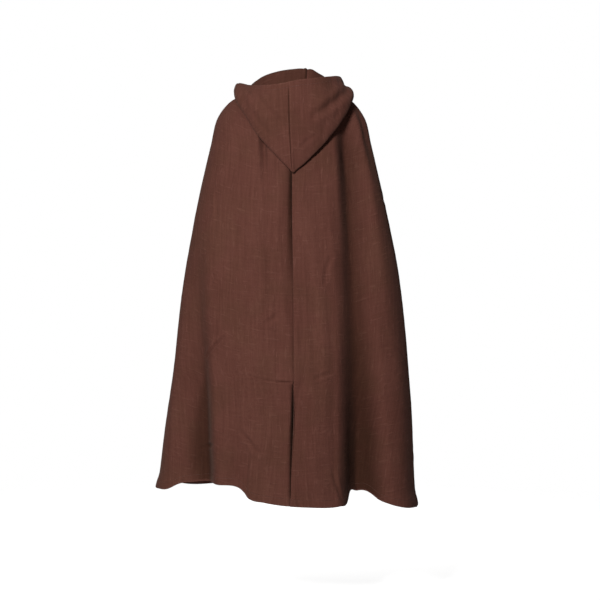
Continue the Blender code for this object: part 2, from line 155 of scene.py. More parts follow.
# Sewing on the body panels
panelEdges = {
    "cloth": 0.002,
    "seamSink": 0.0011,
    "seamWidth": 0.0032,
    "puckerHeight": 0.0005,
    "puckerSpacing": 0.013,
    "puckerFrom": 0.004,
    "puckerReach": 0.016,
    "hemDepth": 0.024,
    "hemStep": 0.0008,
    "stepFrom": 0.001,
    "stepReach": 0.003,
    "stitchIn": 0.003,
    "stitchSink": 0.0006,
    "stitchWidth": 0.0016,
    "hemWave": 0.0016,
    "waveSpacing": 0.035,
    "waveReach": 0.03,
    "frontTurn": 0.022,
    "rimRound": 0.0002,
}
panelWearAndShade = {  # pale at edges and ridges, painted shade in the fold valleys and the seam slot
    "edgeReach": 0.004,
    "ridge": 0.35,
    "ridgeHeight": 0.004,
    "foldDepth": 0.065,
    "slotFrom": 0.004,
    "slotDepth": 0.010,
    "slotGap": (0.55, 0.14),  # the share down where the slot gets no painted shade, and its reach
}

# Distances from an edge of the rows and columns of a panel, closest where the cloth is sewn
gridSteps = {
    "plain": 0.0052,
    "shareClear": 0.002,
    "seam": [0.0006, 0.0014, 0.0023, 0.0034, 0.0047, 0.0065, 0.0090, 0.0125],
    "turn": [0.0006, 0.0015, 0.0030, 0.0060, 0.0100, 0.0140, 0.0160, 0.0175]
    + [0.0184, 0.0192, 0.0200, 0.0208, 0.0217, 0.0228, 0.0245],
    "hem": [0, 0.0006, 0.0015, 0.003, 0.005, 0.008, 0.012, 0.0155, 0.0175, 0.019, 0.0200, 0.0208]
    + [0.0216, 0.0224, 0.0233, 0.0245, 0.026, 0.0285, 0.032],
    "tuck": [-0.0105, -0.007, -0.0045, -0.003, -0.0018, -0.0008, 0.0002, 0.0014, 0.003, 0.0055],
    "tuckClear": 0.0115,
    "hemTop": 0.037,
    "neckRows": 31,
    "neckReach": 0.09,
}
panelKinds = {
    "back": {"width": 0.68, "edge": gridSteps["seam"], "seamLife": 0.15, "grainShift": 0.0},
    "front": {"width": 0.53, "edge": gridSteps["turn"], "seamLife": -0.35, "grainShift": 2.0},
}
noiseSeeds = {"sway": 50, "fineCrumple": 1, "backSeam": 31, "sideSeams": 32, "hem": 37, "hoodSeam": 41}


def smoothCurve(where, knots, values):  # a smooth line through the knots
    knots = np.asarray(knots, float)
    values = np.asarray(values, float)
    slopes = np.gradient(values, knots)
    where = np.clip(where, knots[0], knots[-1])
    i = np.clip(np.searchsorted(knots, where, side="right") - 1, 0, len(knots) - 2)
    span = knots[i + 1] - knots[i]
    t = (where - knots[i]) / span
    start = (1 + 2 * t) * (1 - t) ** 2 * values[i] + t * (1 - t) ** 2 * span * slopes[i]
    end = t * t * (3 - 2 * t) * values[i + 1] - t * t * (1 - t) * span * slopes[i + 1]
    return start + end


def eased(share):
    share = np.clip(share, 0, 1)
    return share * share * (3 - 2 * share)


def crest(offset, leftWidth, rightWidth):  # 1 at the middle of a fold, 0 past its widths
    width = np.where(offset > 0, leftWidth, rightWidth)
    return 0.5 + 0.5 * np.cos(math.pi * np.clip(np.abs(offset) / width, 0, 1))


def bell(distance, width):
    return np.exp(-((distance / width) ** 2))


def unit(vectors):
    return vectors / np.linalg.norm(vectors, axis=-1, keepdims=True)


def wrapped(angle):
    return (angle + 180) % 360 - 180


def softNoise(x, y, seed, size=64):  # smooth waves between -1 and 1, the same on every run
    table = np.random.RandomState(seed).uniform(-1, 1, (size, size))
    xi, yi = np.floor(x).astype(int), np.floor(y).astype(int)
    fx, fy = x - xi, y - yi
    fx = fx**3 * (fx * (6 * fx - 15) + 10)
    fy = fy**3 * (fy * (6 * fy - 15) + 10)
    near, far = ((table[xi % size, (yi + k) % size], table[(xi + 1) % size, (yi + k) % size]) for k in (0, 1))
    low, high = near[0] * (1 - fx) + near[1] * fx, far[0] * (1 - fx) + far[1] * fx
    return low * (1 - fy) + high * fy


def sectionValue(along, name):
    return smoothCurve(along, bodyForm["along"], bodyForm[name])


def plainBody(angle, along):  # the body cloth without its folds, and which way is out
    side, back = np.sin(np.radians(angle)), np.cos(np.radians(angle))
    halfWidth = sectionValue(along, "halfWidth")
    depth = np.where(back > 0, sectionValue(along, "backDepth"), sectionValue(along, "frontDepth"))
    power = sectionValue(along, "roundness")
    reach = ((np.abs(side) / halfWidth) ** power + (np.abs(back) / depth) ** power) ** (-1 / power)
    endZ = np.where(back > 0, sectionValue(along, "backZ"), sectionValue(along, "frontZ"))
    x = sectionValue(along, "centreX") + reach * side
    z = sectionValue(along, "sideZ") * side**2 + endZ * back**2
    outX = np.sign(side) * np.abs(reach * side / halfWidth) ** (power - 1) / halfWidth
    outY = np.sign(back) * np.abs(reach * back / depth) ** (power - 1) / depth
    size = np.hypot(outX, outY)
    points = np.stack(np.broadcast_arrays(x, reach * back, z), -1)
    outward = np.stack(np.broadcast_arrays(outX / size, outY / size, 0 * z), -1)
    return points, outward, reach


def foldOffset(angle, along):  # how far the folds and hollows push the cloth out
    angle = wrapped(angle)
    out = np.zeros(np.broadcast(angle, along).shape)
    spread = bodyForm["foldTopWidth"] + (1 - bodyForm["foldTopWidth"]) * along
    for topAngle, hemAngle, start, depth, leftWidth, rightWidth in bodyFolds:
        centre = topAngle + (hemAngle - topAngle) * along
        growth = np.clip((along - start) / (1 - start), 0, 1)
        out += depth * growth * crest(angle - centre, leftWidth * spread, rightWidth * spread)
    for topAngle, lowAngle, start, deepest, end, depth, width in bodyHollows:
        centre = topAngle + (lowAngle - topAngle) * np.clip((along - start) / (end - start), 0, 1)
        rise = eased((along - start) / (deepest - start))
        fall = eased((end - along) / (end - deepest))
        out += depth * rise * fall * crest(angle - centre, width, width)
    return out


def seamDip(angle, along, reach):  # how deep the cloth lies beside the centre-back seam
    across = np.radians(angle) * reach
    leftWidth = smoothCurve(along, seamDips["along"], seamDips["leftWidth"])
    width = np.where(across > 0, leftWidth, seamDips["rightWidth"])
    depth = smoothCurve(along, seamDips["along"], seamDips["depth"])
    return depth * np.clip(1 - np.abs(across) / width, 0, 1) ** seamDips["sharpness"]


def seamShift(angle, along, reach):  # sideways: the right panel's edge stands out over the left one's tuck
    across = np.radians(angle) * reach
    depth = smoothCurve(along, seamDips["along"], seamDips["depth"])
    edge = seamDips["edgeReach"]
    over = eased(-across / edge) * (1 - eased((-across - edge) / seamDips["edgeFade"]))
    shift = seamDips["overhang"] * np.clip(depth / seamDips["overhangDepth"], 0, 1) * over
    drift = seamDips["drift"] * bell(across, seamDips["driftWidth"]) * eased(along / seamDips["driftStart"])
    return shift - drift


def bodySurface(angle, along):  # the outer face of the body cloth, with its big folds
    angle, along = np.broadcast_arrays(np.asarray(angle, float), np.asarray(along, float))
    points, outward, reach = plainBody(angle, along)
    side = np.abs(np.sin(np.radians(angle)))
    flare = bodyForm["hemFlare"] * eased((along - bodyForm["flareStart"]) / (1 - bodyForm["flareStart"]))
    out = foldOffset(angle, along) - seamDip(angle, along, reach) + flare * side
    points = points + outward * out[..., None]
    points[..., 0] += seamShift(wrapped(angle), along, reach)
    hemZ = smoothCurve(wrapped(angle), *zip(*hemLine))
    plainHem = plainBody(angle, np.ones_like(along))[0][..., 2]
    points[..., 2] += (hemZ - plainHem) * along ** bodyForm["hemPull"]
    return points


def outwardOf(surface, angle, along, turn=0.3, step=0.005):  # square to the surface, from places close by
    across = surface(angle + turn, along) - surface(angle - turn, along)
    above, below = np.clip(along - step, 0, 1), np.clip(along + step, 0, 1)
    return unit(np.cross(across, surface(angle, below) - surface(angle, above)))


def distanceToPath(points, path):  # the distance to a bent line, and the share of the way along it
    path = np.asarray(path, float)
    lengths = np.linalg.norm(np.diff(path, axis=0), axis=1)
    starts = np.concatenate([[0], np.cumsum(lengths)])
    best = np.full(points.shape[:-1], np.inf)
    share = np.zeros(points.shape[:-1])
    for a, b, length, start in zip(path, path[1:], lengths, starts):
        t = np.clip(((points - a) @ (b - a)) / length**2, 0, 1)
        away = np.linalg.norm(points - (a + t[..., None] * (b - a)), axis=-1)
        near = away < best
        best = np.where(near, away, best)
        share = np.where(near, (start + t * length) / starts[-1], share)
    return best, share


def creaseOffset(points, path, depth, width):  # a soft trough with a low ridge beside it
    path = np.asarray(path, float)
    reach, fade = creaseShape["reach"] * width, creaseShape["endFade"]
    near = np.all((points > path.min(0) - reach) & (points < path.max(0) + reach), axis=-1)
    out = np.zeros(points.shape[:-1])
    if not near.any():
        return out
    away, share = distanceToPath(points[near], path)
    faded = np.sin(math.pi * np.clip(fade + (1 - 2 * fade) * share, 0, 1)) ** creaseShape["fadePower"]
    ridge = bell(away - creaseShape["ridgeAway"] * width, width)
    out[near] = depth * faded * (creaseShape["ridgeLift"] * ridge - bell(away, width))
    return out


def runs(points, axis):  # the distance run along each row or column of a grid
    steps = np.linalg.norm(np.diff(points, axis=axis), axis=-1)
    start = np.zeros_like(np.take(steps, [0], axis=axis))
    return np.concatenate([start, np.cumsum(steps, axis=axis)], axis=axis)


def smoothed(values, reach):  # a mean over this many rows of a grid to each side
    padded = np.concatenate([values[:1]] * reach + [values] + [values[-1:]] * reach)
    total = np.cumsum(np.concatenate([0 * padded[:1], padded]), axis=0)
    return (total[2 * reach + 1 :] - total[: -2 * reach - 1]) / (2 * reach + 1)


def lifeOffset(angle, along):  # the ripples and the crumple
    round_ = np.radians(wrapped(angle)) * clothLife["ringRadius"]
    down = along * clothLife["fullLength"]
    swayRound, swayDown, swaySize = clothLife["sway"]
    out = 0
    for across, length, height, start, seed in clothLife["ripples"]:
        growth = eased((along - start) / clothLife["rippleGrowth"])
        sway = swaySize * softNoise(round_ / swayRound, down / swayDown, seed + noiseSeeds["sway"])
        out = out + height * growth * softNoise(round_ / across + sway, down / length, seed)
    across, length, height, seed = clothLife["crumple"]
    finerRound, finerDown, lower = clothLife["fineCrumple"]
    out = out + height * softNoise(round_ / across, down / length, seed)
    shifted = round_ / across * finerRound + clothLife["crumpleShift"]  # so that the two don't line up
    seed = seed + noiseSeeds["fineCrumple"]
    return out + lower * height * softNoise(shifted, down / length * finerDown, seed)


def seamOffset(distance, run, seed):  # the cloth turns in at a seam, and puckers along it
    out = -panelEdges["seamSink"] * bell(distance, panelEdges["seamWidth"])
    pucker = softNoise(run / panelEdges["puckerSpacing"], 0 * run, seed)
    reach = bell(distance - panelEdges["puckerFrom"], panelEdges["puckerReach"])
    return out + panelEdges["puckerHeight"] * pucker * reach


def hemOffset(distance, depth):  # the turned hem is thicker, with its line of stitches pulled in
    step = eased((distance - depth + panelEdges["stepFrom"]) / panelEdges["stepReach"])
    sunk = bell(distance - depth + panelEdges["stitchIn"], panelEdges["stitchWidth"])
    return panelEdges["hemStep"] * (1 - step) - panelEdges["stitchSink"] * sunk


def linkedPiece(name, mesh, material):
    mesh.shade_smooth()
    mesh.materials.append(material)
    made = bpy.data.objects.new(name, mesh)
    bpy.context.scene.collection.objects.link(made)
    return made


def clothPiece(name, outer, inner, across, down, wearAndPaintedLight, material, innerPaintedShade=0.0):  # a closed wall of two grids
    rows, columns = outer.shape[:2]
    index = np.arange(rows * columns).reshape(rows, columns)
    layer = rows * columns
    quads = np.stack([index[:-1, :-1], index[:-1, 1:], index[1:, 1:], index[1:, :-1]], -1).reshape(-1, 4)
    rim = np.concatenate([index[0, :], index[1:, -1], index[-1, -2::-1], index[-2:0:-1, 0]])
    after = np.roll(rim, -1)
    middle = np.arange(len(rim)) + 2 * layer
    nextMiddle = np.roll(middle, -1)
    flatOuter, flatInner = outer.reshape(-1, 3), inner.reshape(-1, 3)
    edgeOut = rimOutward(outer, rim) * panelEdges["rimRound"]
    middlePoints = 0.5 * (flatOuter[rim] + flatInner[rim]) + edgeOut
    vertices = np.concatenate([flatOuter, flatInner, middlePoints])
    faces = np.concatenate(
        [
            quads,
            quads[:, ::-1] + layer,
            np.stack([after, rim, middle, nextMiddle], -1),
            np.stack([nextMiddle, middle, rim + layer, after + layer], -1),
        ]
    )
    a, b, c, d = (vertices[faces[:, k]] for k in range(4))
    if (a * np.cross(b, c)).sum() + (a * np.cross(c, d)).sum() < 0:  # inside out
        faces = faces[:, ::-1]
    mesh = bpy.data.meshes.new(name)
    mesh.from_pydata(vertices.tolist(), [], faces.tolist())
    mesh.update()
    corners = np.zeros(len(mesh.loops), np.int32)
    mesh.loops.foreach_get("vertex_index", corners)
    flat = np.stack([across, down], -1).reshape(-1, 2)
    grain = np.concatenate([flat, flat, flat[rim]])[corners]
    mesh.uv_layers.new(name="grain").data.foreach_set("uv", grain.astype(np.float32).ravel())
    # per point: above 0 rubbed pale plus a painted highlight on the hood's step, below 0 painted shade
    flatWearAndPaintedLight = wearAndPaintedLight.reshape(-1)
    wornAndPaintedLight = np.concatenate([flatWearAndPaintedLight, np.clip(flatWearAndPaintedLight + innerPaintedShade, -1, 1), flatWearAndPaintedLight[rim]])
    mesh.attributes.new("wearAndPaintedLight", "FLOAT", "POINT").data.foreach_set("value", wornAndPaintedLight.astype(np.float32))
    return linkedPiece(name, mesh, material)


def rimOutward(outer, rim):  # the direction out of the sheet at each point of its rim
    out = np.zeros_like(outer)
    out[0] -= unit(outer[1] - outer[0])
    out[-1] += unit(outer[-1] - outer[-2])
    out[:, 0] -= unit(outer[:, 1] - outer[:, 0])
    out[:, -1] += unit(outer[:, -1] - outer[:, -2])
    return unit(out.reshape(-1, 3)[rim])


def gridNormals(points):
    return unit(np.cross(np.gradient(points, axis=0), np.gradient(points, axis=1)))


def frontEdge(along):  # the angle of the front opening
    reach = sectionValue(along, "frontDepth")
    return 180 - np.degrees(sectionValue(along, "frontGap") / reach)


def panelRows():  # shares of the way down, from the neck to the hem
    length = clothLife["fullLength"]
    tuck = np.array(gridSteps["tuck"]) + length * (1 - clothLife["tuckLine"])
    plain = np.arange(gridSteps["hemTop"], length - gridSteps["neckReach"], gridSteps["plain"])
    plain = plain[np.abs(plain - tuck.mean()) > gridSteps["tuckClear"]]
    up = np.sort(np.concatenate([gridSteps["hem"], plain, tuck]))
    top = np.linspace(up[-1], length, gridSteps["neckRows"])[1:]
    return 1 - np.concatenate([up, top])[::-1] / length


def panelShares(width, nearStart, nearEnd, spacing=gridSteps["plain"]):  # shares of the way across
    inside = np.linspace(0, 1, int(width / spacing) + 1)
    start, end = np.array(nearStart) / width, 1 - np.array(nearEnd) / width
    clear = gridSteps["shareClear"]
    inside = inside[(inside > start[-1] + clear) & (inside < end[-1] - clear)]
    return np.unique(np.concatenate([[0], start, inside, end[::-1], [1]]))


def fittedInner(outer, outward, cloth):  # the inner face of the cloth, and the outer one's normals
    normals = gridNormals(outer)
    flip = np.sign((normals * outward).sum(-1, keepdims=True))
    return outer - normals * np.where(flip == 0, 1, flip) * cloth, normals * flip


def bodyPanel(name, side, isBack, material):
    along = panelRows()[:, None]
    kind = panelKinds["back" if isBack else "front"]
    share = panelShares(kind["width"], gridSteps["seam"], kind["edge"])[None, :]
    sideSeam = 0 * along + bodyForm["sideSeam"]
    start, end = (0 * along, sideSeam) if isBack else (sideSeam, frontEdge(along))
    angle = side * (start + (end - start) * share)
    angle, along = np.broadcast_arrays(angle, along)
    base = bodySurface(angle, along)
    outward = outwardOf(bodySurface, angle, along)
    across, down = runs(base, 1), runs(base, 0)
    hemUp = down[-1:] - down
    first, last = across, across[:, -1:] - across
    calm = eased(along / clothLife["neckCalm"])
    still = eased(first / clothLife["seamCalm"] - kind["seamLife"])
    stiller = eased(last / clothLife["edgeCalm"] + clothLife["edgeLife"])
    out = lifeOffset(angle, along) * calm * still * stiller
    for depth, width, path in bodyCreases:
        out = out + creaseOffset(base, bodySurface(*zip(*path)), depth, width)
    sideSeed = noiseSeeds["sideSeams"] + side  # the two panels of a side seam pucker alike
    if isBack:
        out = out + seamOffset(first, down, noiseSeeds["backSeam"]) + seamOffset(last, down, sideSeed)
    else:
        out = out + seamOffset(first, down, sideSeed) + hemOffset(last, panelEdges["frontTurn"])
    out = out + hemOffset(hemUp, panelEdges["hemDepth"])
    round_ = np.radians(wrapped(angle)) * clothLife["ringRadius"]
    wave = softNoise(round_ / panelEdges["waveSpacing"], 0 * along, noiseSeeds["hem"])
    out = out + panelEdges["hemWave"] * wave * bell(hemUp, panelEdges["waveReach"])
    outer = base + outward * out[..., None]
    inner, normals = fittedInner(outer, outward, panelEdges["cloth"])
    wearAndPaintedLight = panelShade(angle, along, hemUp, last, out, isBack)
    fromSeam = (across if isBack else last) + kind["grainShift"]
    grainAcross = side * smoothed(fromSeam, clothLife["grainSmooth"])
    made = clothPiece(name, outer, inner, grainAcross, down, wearAndPaintedLight, material)
    lines = {"hem": lineAt(outer, normals, hemUp, panelEdges["hemDepth"] - panelEdges["stitchIn"], 0)}
    if not isBack:
        lines["front"] = lineAt(outer, normals, last, panelEdges["frontTurn"] - panelEdges["stitchIn"], 1)
    return made, lines


def panelShade(angle, along, hemUp, last, out, isBack):  # 1 where the cloth is rubbed pale, -1 where painted shade darkens a fold valley or the seam slot
    edge = panelWearAndShade["edgeReach"]
    wearAndPaintedLight = bell(hemUp, edge) + (0 if isBack else 1) * bell(last, edge)
    wearAndPaintedLight = wearAndPaintedLight + panelWearAndShade["ridge"] * np.clip(out / panelWearAndShade["ridgeHeight"], 0, 1)
    # painted shade: the seam slot and the fold valleys below are darkened in the colour
    tucked = seamDip(angle, along, plainBody(angle, along)[2])
    gapAlong, gapReach = panelWearAndShade["slotGap"]
    slot = eased((tucked - panelWearAndShade["slotFrom"]) / panelWearAndShade["slotDepth"])
    slot = slot * (1 - bell(along - gapAlong, gapReach))
    folded = np.clip(-foldOffset(angle, along) / panelWearAndShade["foldDepth"], 0, 1)
    return np.clip(wearAndPaintedLight - folded - slot, -1, 1)


def alongRun(at, run, values):  # rows of values, read off at other distances
    return np.stack([np.interp(at, run, values[:, k]) for k in range(values.shape[1])], -1)


def lineAt(points, normals, distance, wanted, axis):  # where a grid is this far from its edge
    if axis == 1:
        points, normals, distance = (np.swapaxes(grid, 0, 1) for grid in (points, normals, distance))
    places, outs = [], []
    for c in range(points.shape[1]):
        order = np.argsort(distance[:, c])
        run = distance[order, c]
        places.append(alongRun(wanted, run, points[order, c]))
        outs.append(alongRun(wanted, run, normals[order, c]))
    return np.array(places), unit(np.array(outs))


# The hood. The lists of each side have one value for each angle round the neck, where a cut is taken
# through the hood, and the distances run down the body cloth from the neck seam.
hoodForm = {
    "angle": [0, 16, 34, 55, 76, 100, 128, 155, 180],
    "left": {
        "standHeight": [0.020, 0.020, 0.015, 0.003, -0.008, -0.004, 0.004, 0.008, 0.006],
        "standOut": [0.012, 0.018, 0.032, 0.047, 0.056, 0.050, 0.034, 0.016, 0.004],
        "underLift": [0.006, 0.006, 0.007, 0.009, 0.010, 0.010, 0.008, 0.006, 0.005],
        "rimDistance": [0.323, 0.277, 0.230, 0.168, 0.128, 0.112, 0.090, 0.060, 0.036],
        "rimRoll": [0.004, 0.007, 0.010, 0.013, 0.014, 0.013, 0.011, 0.008, 0.005],
        "topLift": [0.050, 0.053, 0.053, 0.043, 0.037, 0.033, 0.026, 0.019, 0.015],
        "faceDistance": [0.075, 0.080, 0.084, 0.087, 0.086, 0.074, 0.056, 0.036, 0.017],
        "faceLift": [0.083, 0.074, 0.056, 0.032, 0.023, 0.026, 0.025, 0.020, 0.017],
    },
    "right": {
        "standHeight": [0.020, 0.018, 0.009, 0.000, -0.008, -0.004, 0.004, 0.008, 0.006],
        "standOut": [0.012, 0.014, 0.024, 0.036, 0.044, 0.042, 0.030, 0.014, 0.004],
        "underLift": [0.006, 0.006, 0.007, 0.009, 0.010, 0.010, 0.008, 0.006, 0.005],
        "rimDistance": [0.323, 0.291, 0.248, 0.180, 0.128, 0.112, 0.092, 0.060, 0.036],
        "rimRoll": [0.004, 0.007, 0.010, 0.012, 0.010, 0.009, 0.009, 0.008, 0.005],
        "topLift": [0.050, 0.055, 0.058, 0.048, 0.034, 0.029, 0.026, 0.019, 0.015],
        "faceDistance": [0.075, 0.072, 0.070, 0.066, 0.062, 0.060, 0.052, 0.036, 0.017],
        "faceLift": [0.083, 0.087, 0.079, 0.060, 0.046, 0.042, 0.034, 0.022, 0.017],
    },
    "standBend": (0.6, 0.25, 0.35),  # where the cloth bends as it turns over from the neck
    "underAt": (0.36, 0.68),
    "underRise": 0.3,
    "underClear": 0.002,
    "seamLean": [0, -0.020, -0.034, -0.034, -0.022, -0.010, -0.005, -0.003, 0.004, 0.013],
    "leanReach": 0.07,
    "spans": (4, 6, 26, 20, 20, 6, 6, 34, 36),  # steps between the knots of a cut
    "rimSpan": 6,  # the spans before the rim
    "width": 0.62,
    "spacing": 0.0045,
    "frontSteps": [0.0006, 0.0015, 0.003, 0.005],
    "ripples": [(0.060, 0.080, 0.0016, 21), (0.028, 0.034, 0.0005, 22), (0.012, 0.014, 0.00018, 23)],
    "grainShift": 5,
    "grainRound": 0.05,
    "grainStretch": 1.2,
}
hoodSewing = {  # a pair is a place and its reach, or a reach and what is left at the edge
    "faceTurn": 0.020,
    "faceClear": 0.004,
    "faceReach": 0.03,
    "neckSeam": 0.003,
    "neckCalm": 0.05,
    "faceCalm": (0.03, 0.3),
    "seamCalm": (0.03, 0.25),
    "pucker": 0.25,
    "seamDepth": 0.0012,
    "seamWidth": 0.0024,
    "stepHeight": 0.0016,
    "stepAt": (0.006, 0.005),
    # seamShade, shadeWidth and shadeAtFace: painted shade along the hood's centre seam groove
    "seamShade": 0.9,
    "shadeWidth": 0.0019,
    "shadeAtFace": 0.15,
    # painted highlight on the lit side of the pressed seam step
    "stepHighlight": 0.7,
    "stepHighlightAt": (0.0055, 0.0022),
    "edgeWear": 0.004,
    "rimWear": 0.5,
    "rimReach": 0.02,
    # painted shade on the whole inner face of the hood
    "insideShade": -0.55,
}
hoodCreases = {  # depth, width, then the angle and the place along the cut of each point
    "left": [
        (0.0052, 0.0110, [(62, 8.42), (50, 8.30), (36, 8.13), (23, 8.00), (9, 7.93)]),
        (0.0012, 0.0060, [(44, 7.45), (33, 7.40), (22, 7.42)]),
        (0.0012, 0.0070, [(96, 7.60), (84, 7.90), (74, 8.20)]),
    ],
    "right": [
        (0.0056, 0.0115, [(66, 7.60), (52, 7.80), (38, 7.93), (27, 7.95)]),
        (0.0014, 0.0060, [(28, 7.45), (20, 7.50), (12, 7.46)]),
        (0.0012, 0.0070, [(98, 7.50), (86, 7.85), (76, 8.10)]),
    ],
}


def onBody(angle, distance, lift):  # a point so far down the body cloth, and so high above it
    steps = np.linspace(0, 0.4, 81)
    line = plainBody(np.full_like(steps, angle), steps)[0]
    run = np.concatenate([[0], np.cumsum(np.linalg.norm(np.diff(line, axis=0), axis=1))])
    place = np.array([angle]), np.array([np.interp(distance, run, steps)])
    normal = outwardOf(lambda a, s: plainBody(a, s)[0], *place)[0]
    return plainBody(*place)[0][0] + normal * lift


def hoodCut(sideName, side, turn):  # from the neck seam out, under the rim, round it and up to the face edge
    angle = side * turn
    row = {key: float(smoothCurve(turn, hoodForm["angle"], v)) for key, v in hoodForm[sideName].items()}
    seam = onBody(angle, 0, 0)
    up = np.array([0, 0, 1.0])
    away = np.array([math.sin(math.radians(angle)), math.cos(math.radians(angle)), 0])
    high, out, under = row["standHeight"], row["standOut"], row["underLift"]
    rim, roll, face = row["rimDistance"], row["rimRoll"], row["faceDistance"]
    bendHigh, bendOut, bendAway = hoodForm["standBend"]
    nearNeck, nearRim = hoodForm["underAt"]
    return np.array(
        [
            seam,
            seam + up * (bendHigh * high + bendOut * out) + away * bendAway * out,
            seam + up * high + away * out,
            onBody(angle, out + nearNeck * (rim - out), under + max(hoodForm["underRise"] * high, 0)),
            onBody(angle, out + nearRim * (rim - out), under + hoodForm["underClear"]),
            onBody(angle, rim - roll, under),
            onBody(angle, rim, under + roll),
            onBody(angle, rim - roll, under + 2 * roll),
            onBody(angle, 0.5 * (rim - roll + face), row["topLift"]),
            onBody(angle, face, row["faceLift"]),
        ]
    )


def sampledCut(points, spans):  # a smooth line through the points, with so many steps in each span
    run = np.concatenate([[0], np.cumsum(np.linalg.norm(np.diff(points, axis=0), axis=1) ** 0.5)])
    where = [run[i] + (run[i + 1] - run[i]) * k / n for i, n in enumerate(spans) for k in range(n)]
    where = np.array(where + [run[-1]])
    return np.stack([smoothCurve(where, run, points[:, axis]) for axis in range(3)], -1)


def hoodHalf(name, sideName, side, material):
    shares = panelShares(hoodForm["width"], gridSteps["seam"], hoodForm["frontSteps"], hoodForm["spacing"])
    turns = float(frontEdge(0.0)) * shares
    cuts = [hoodCut(sideName, side, turn) for turn in turns]
    base = np.stack([sampledCut(cut, hoodForm["spans"]) for cut in cuts], 1)
    knots = np.arange(len(hoodForm["spans"]) + 1)
    place = np.interp(np.arange(len(base)), np.cumsum((0,) + hoodForm["spans"]), knots)
    lean = smoothCurve(place, knots, hoodForm["seamLean"])[:, None]
    base[..., 0] += lean * bell(runs(base, 1), hoodForm["leanReach"])
    outward = gridNormals(base) * side
    outward[:, 0] = unit(outward[:, 0] * (0, 1, 1))  # square to the middle, where the halves meet
    across, down = runs(base, 1), runs(base, 0)
    faceUp = down[-1:] - down
    sewn = eased((faceUp - hoodSewing["faceClear"]) / hoodSewing["faceReach"])
    out = hoodOffset(base, turns, across, down, faceUp, sewn, sideName, side)
    outer = base + outward * out[..., None]
    inner, normals = fittedInner(outer, outward, panelEdges["cloth"])
    wearAndPaintedLight = hoodShade(across, down, faceUp, sewn, side)
    level = runs(base * (1, 1, 0), 1)
    fall = (np.hypot(base[..., 1], hoodForm["grainRound"]) - base[..., 2]) / hoodForm["grainStretch"]
    grainAcross = side * level + hoodForm["grainShift"]
    made = clothPiece(name, outer, inner, grainAcross, fall, wearAndPaintedLight, material, hoodSewing["insideShade"])
    return made, {"face": lineAt(outer, normals, faceUp, hoodSewing["faceTurn"] - panelEdges["stitchIn"], 0)}


def hoodOffset(base, turns, across, down, faceUp, sewn, sideName, side):  # ripples, creases and sewing
    (faceReach, faceLife), (seamReach, seamLife) = hoodSewing["faceCalm"], hoodSewing["seamCalm"]
    calm = eased(down / hoodSewing["neckCalm"]) * eased(faceUp / faceReach + faceLife)
    calm = calm * eased(across / seamReach + seamLife)
    out = 0
    for wide, long, height, seed in hoodForm["ripples"]:
        out = out + height * softNoise(side * across / wide, down / long, seed) * calm
    for depth, width, path in hoodCreases[sideName]:
        line = np.array([gridPoint(base, turns, turn, place) for turn, place in path])
        out = out + creaseOffset(base, line, depth, width)
    least = hoodSewing["pucker"]
    out = out + seamOffset(across, down, noiseSeeds["hoodSeam"]) * (least + (1 - least) * sewn)
    out = out + hemOffset(faceUp, hoodSewing["faceTurn"])
    out = out - hoodSewing["seamDepth"] * bell(across, hoodSewing["seamWidth"]) * sewn
    out = out - panelEdges["seamSink"] * bell(down, hoodSewing["neckSeam"])
    if side < 0:  # the seam allowances are pressed to this side
        at, reach = hoodSewing["stepAt"]
        out = out + hoodSewing["stepHeight"] * bell(across - at, reach) * sewn
    return out


def hoodShade(across, down, faceUp, sewn, side):  # pale at the face edge and the rim, a painted highlight on the step, painted shade in the seam groove
    rimRun = down[sum(hoodForm["spans"][: hoodForm["rimSpan"]])][None, :]
    rim = hoodSewing["rimWear"] * bell(down - rimRun, hoodSewing["rimReach"])
    wearAndPaintedLight = np.clip(bell(faceUp, hoodSewing["edgeWear"]) + rim, 0, 1)
    least = hoodSewing["shadeAtFace"]
    # painted shade in the seam groove
    shade = hoodSewing["seamShade"] * bell(across, hoodSewing["shadeWidth"]) * (least + (1 - least) * sewn)
    wearAndPaintedLight = wearAndPaintedLight - shade
    # painted highlight along the pressed step
    if side < 0:
        at, reach = hoodSewing["stepHighlightAt"]
        wearAndPaintedLight = wearAndPaintedLight + hoodSewing["stepHighlight"] * bell(across - at, reach) * sewn
    return np.clip(wearAndPaintedLight, -1, 1)


def gridPoint(grid, turns, turn, place):  # the point at an angle and a place along the hood's cuts
    spans = hoodForm["spans"]
    row = sum(spans[: int(place)]) + (place - int(place)) * spans[int(place)]
    column = np.interp(turn, turns, np.arange(len(turns)))
    return onGrid(grid, np.array([row]), np.array([column]))[0]


def onGrid(grid, row, column):  # the value between the points of a grid
    i = np.minimum(row.astype(int), grid.shape[0] - 2)
    j = np.minimum(column.astype(int), grid.shape[1] - 2)
    fr, fc = (row - i)[:, None], (column - j)[:, None]
    low = grid[i, j] * (1 - fc) + grid[i, j + 1] * fc
    return low * (1 - fr) + (grid[i + 1, j] * (1 - fc) + grid[i + 1, j + 1] * fc) * fr


# The strap across the throat, with its button
throatTab = {
    "halfAngle": 24.0,
    "top": 0.036,
    "bottom": 0.064,
    "lift": 0.0022,
    "puff": 0.0005,
    "stitchIn": 0.003,
    "boxShare": (0.04, 0.27, 0.12, 0.88),
    "holeShare": (0.575, 0.865),
    "holeHalf": 0.034,
    "barHalf": 0.0544,
    "rows": 25,
    "columns": 61,
    "puffReach": 0.010,
    "stitchSink": 0.00036,
    "stitchWidth": 0.001,
    "edgeWear": 0.002,
    "grainShift": 9,
}
hornButton = {
    "radius": 0.011,
    "thick": 0.0035,
    "rim": 0.0025,
    "dish": 0.0012,
    "angle": -170.0,
    "along": 0.050,
    "clear": 0.0003,
    "lip": 0.0008,
    "slope": 0.002,
    "rounding": 0.0006,
    "roundedFrom": 25,
    "sharpFrom": 35,
    "sides": 64,
    "holeRadius": 0.0009,
    "holeSides": 20,
    "holeAway": 0.0023 / math.sqrt(2),
    "drillLength": 0.02,
}


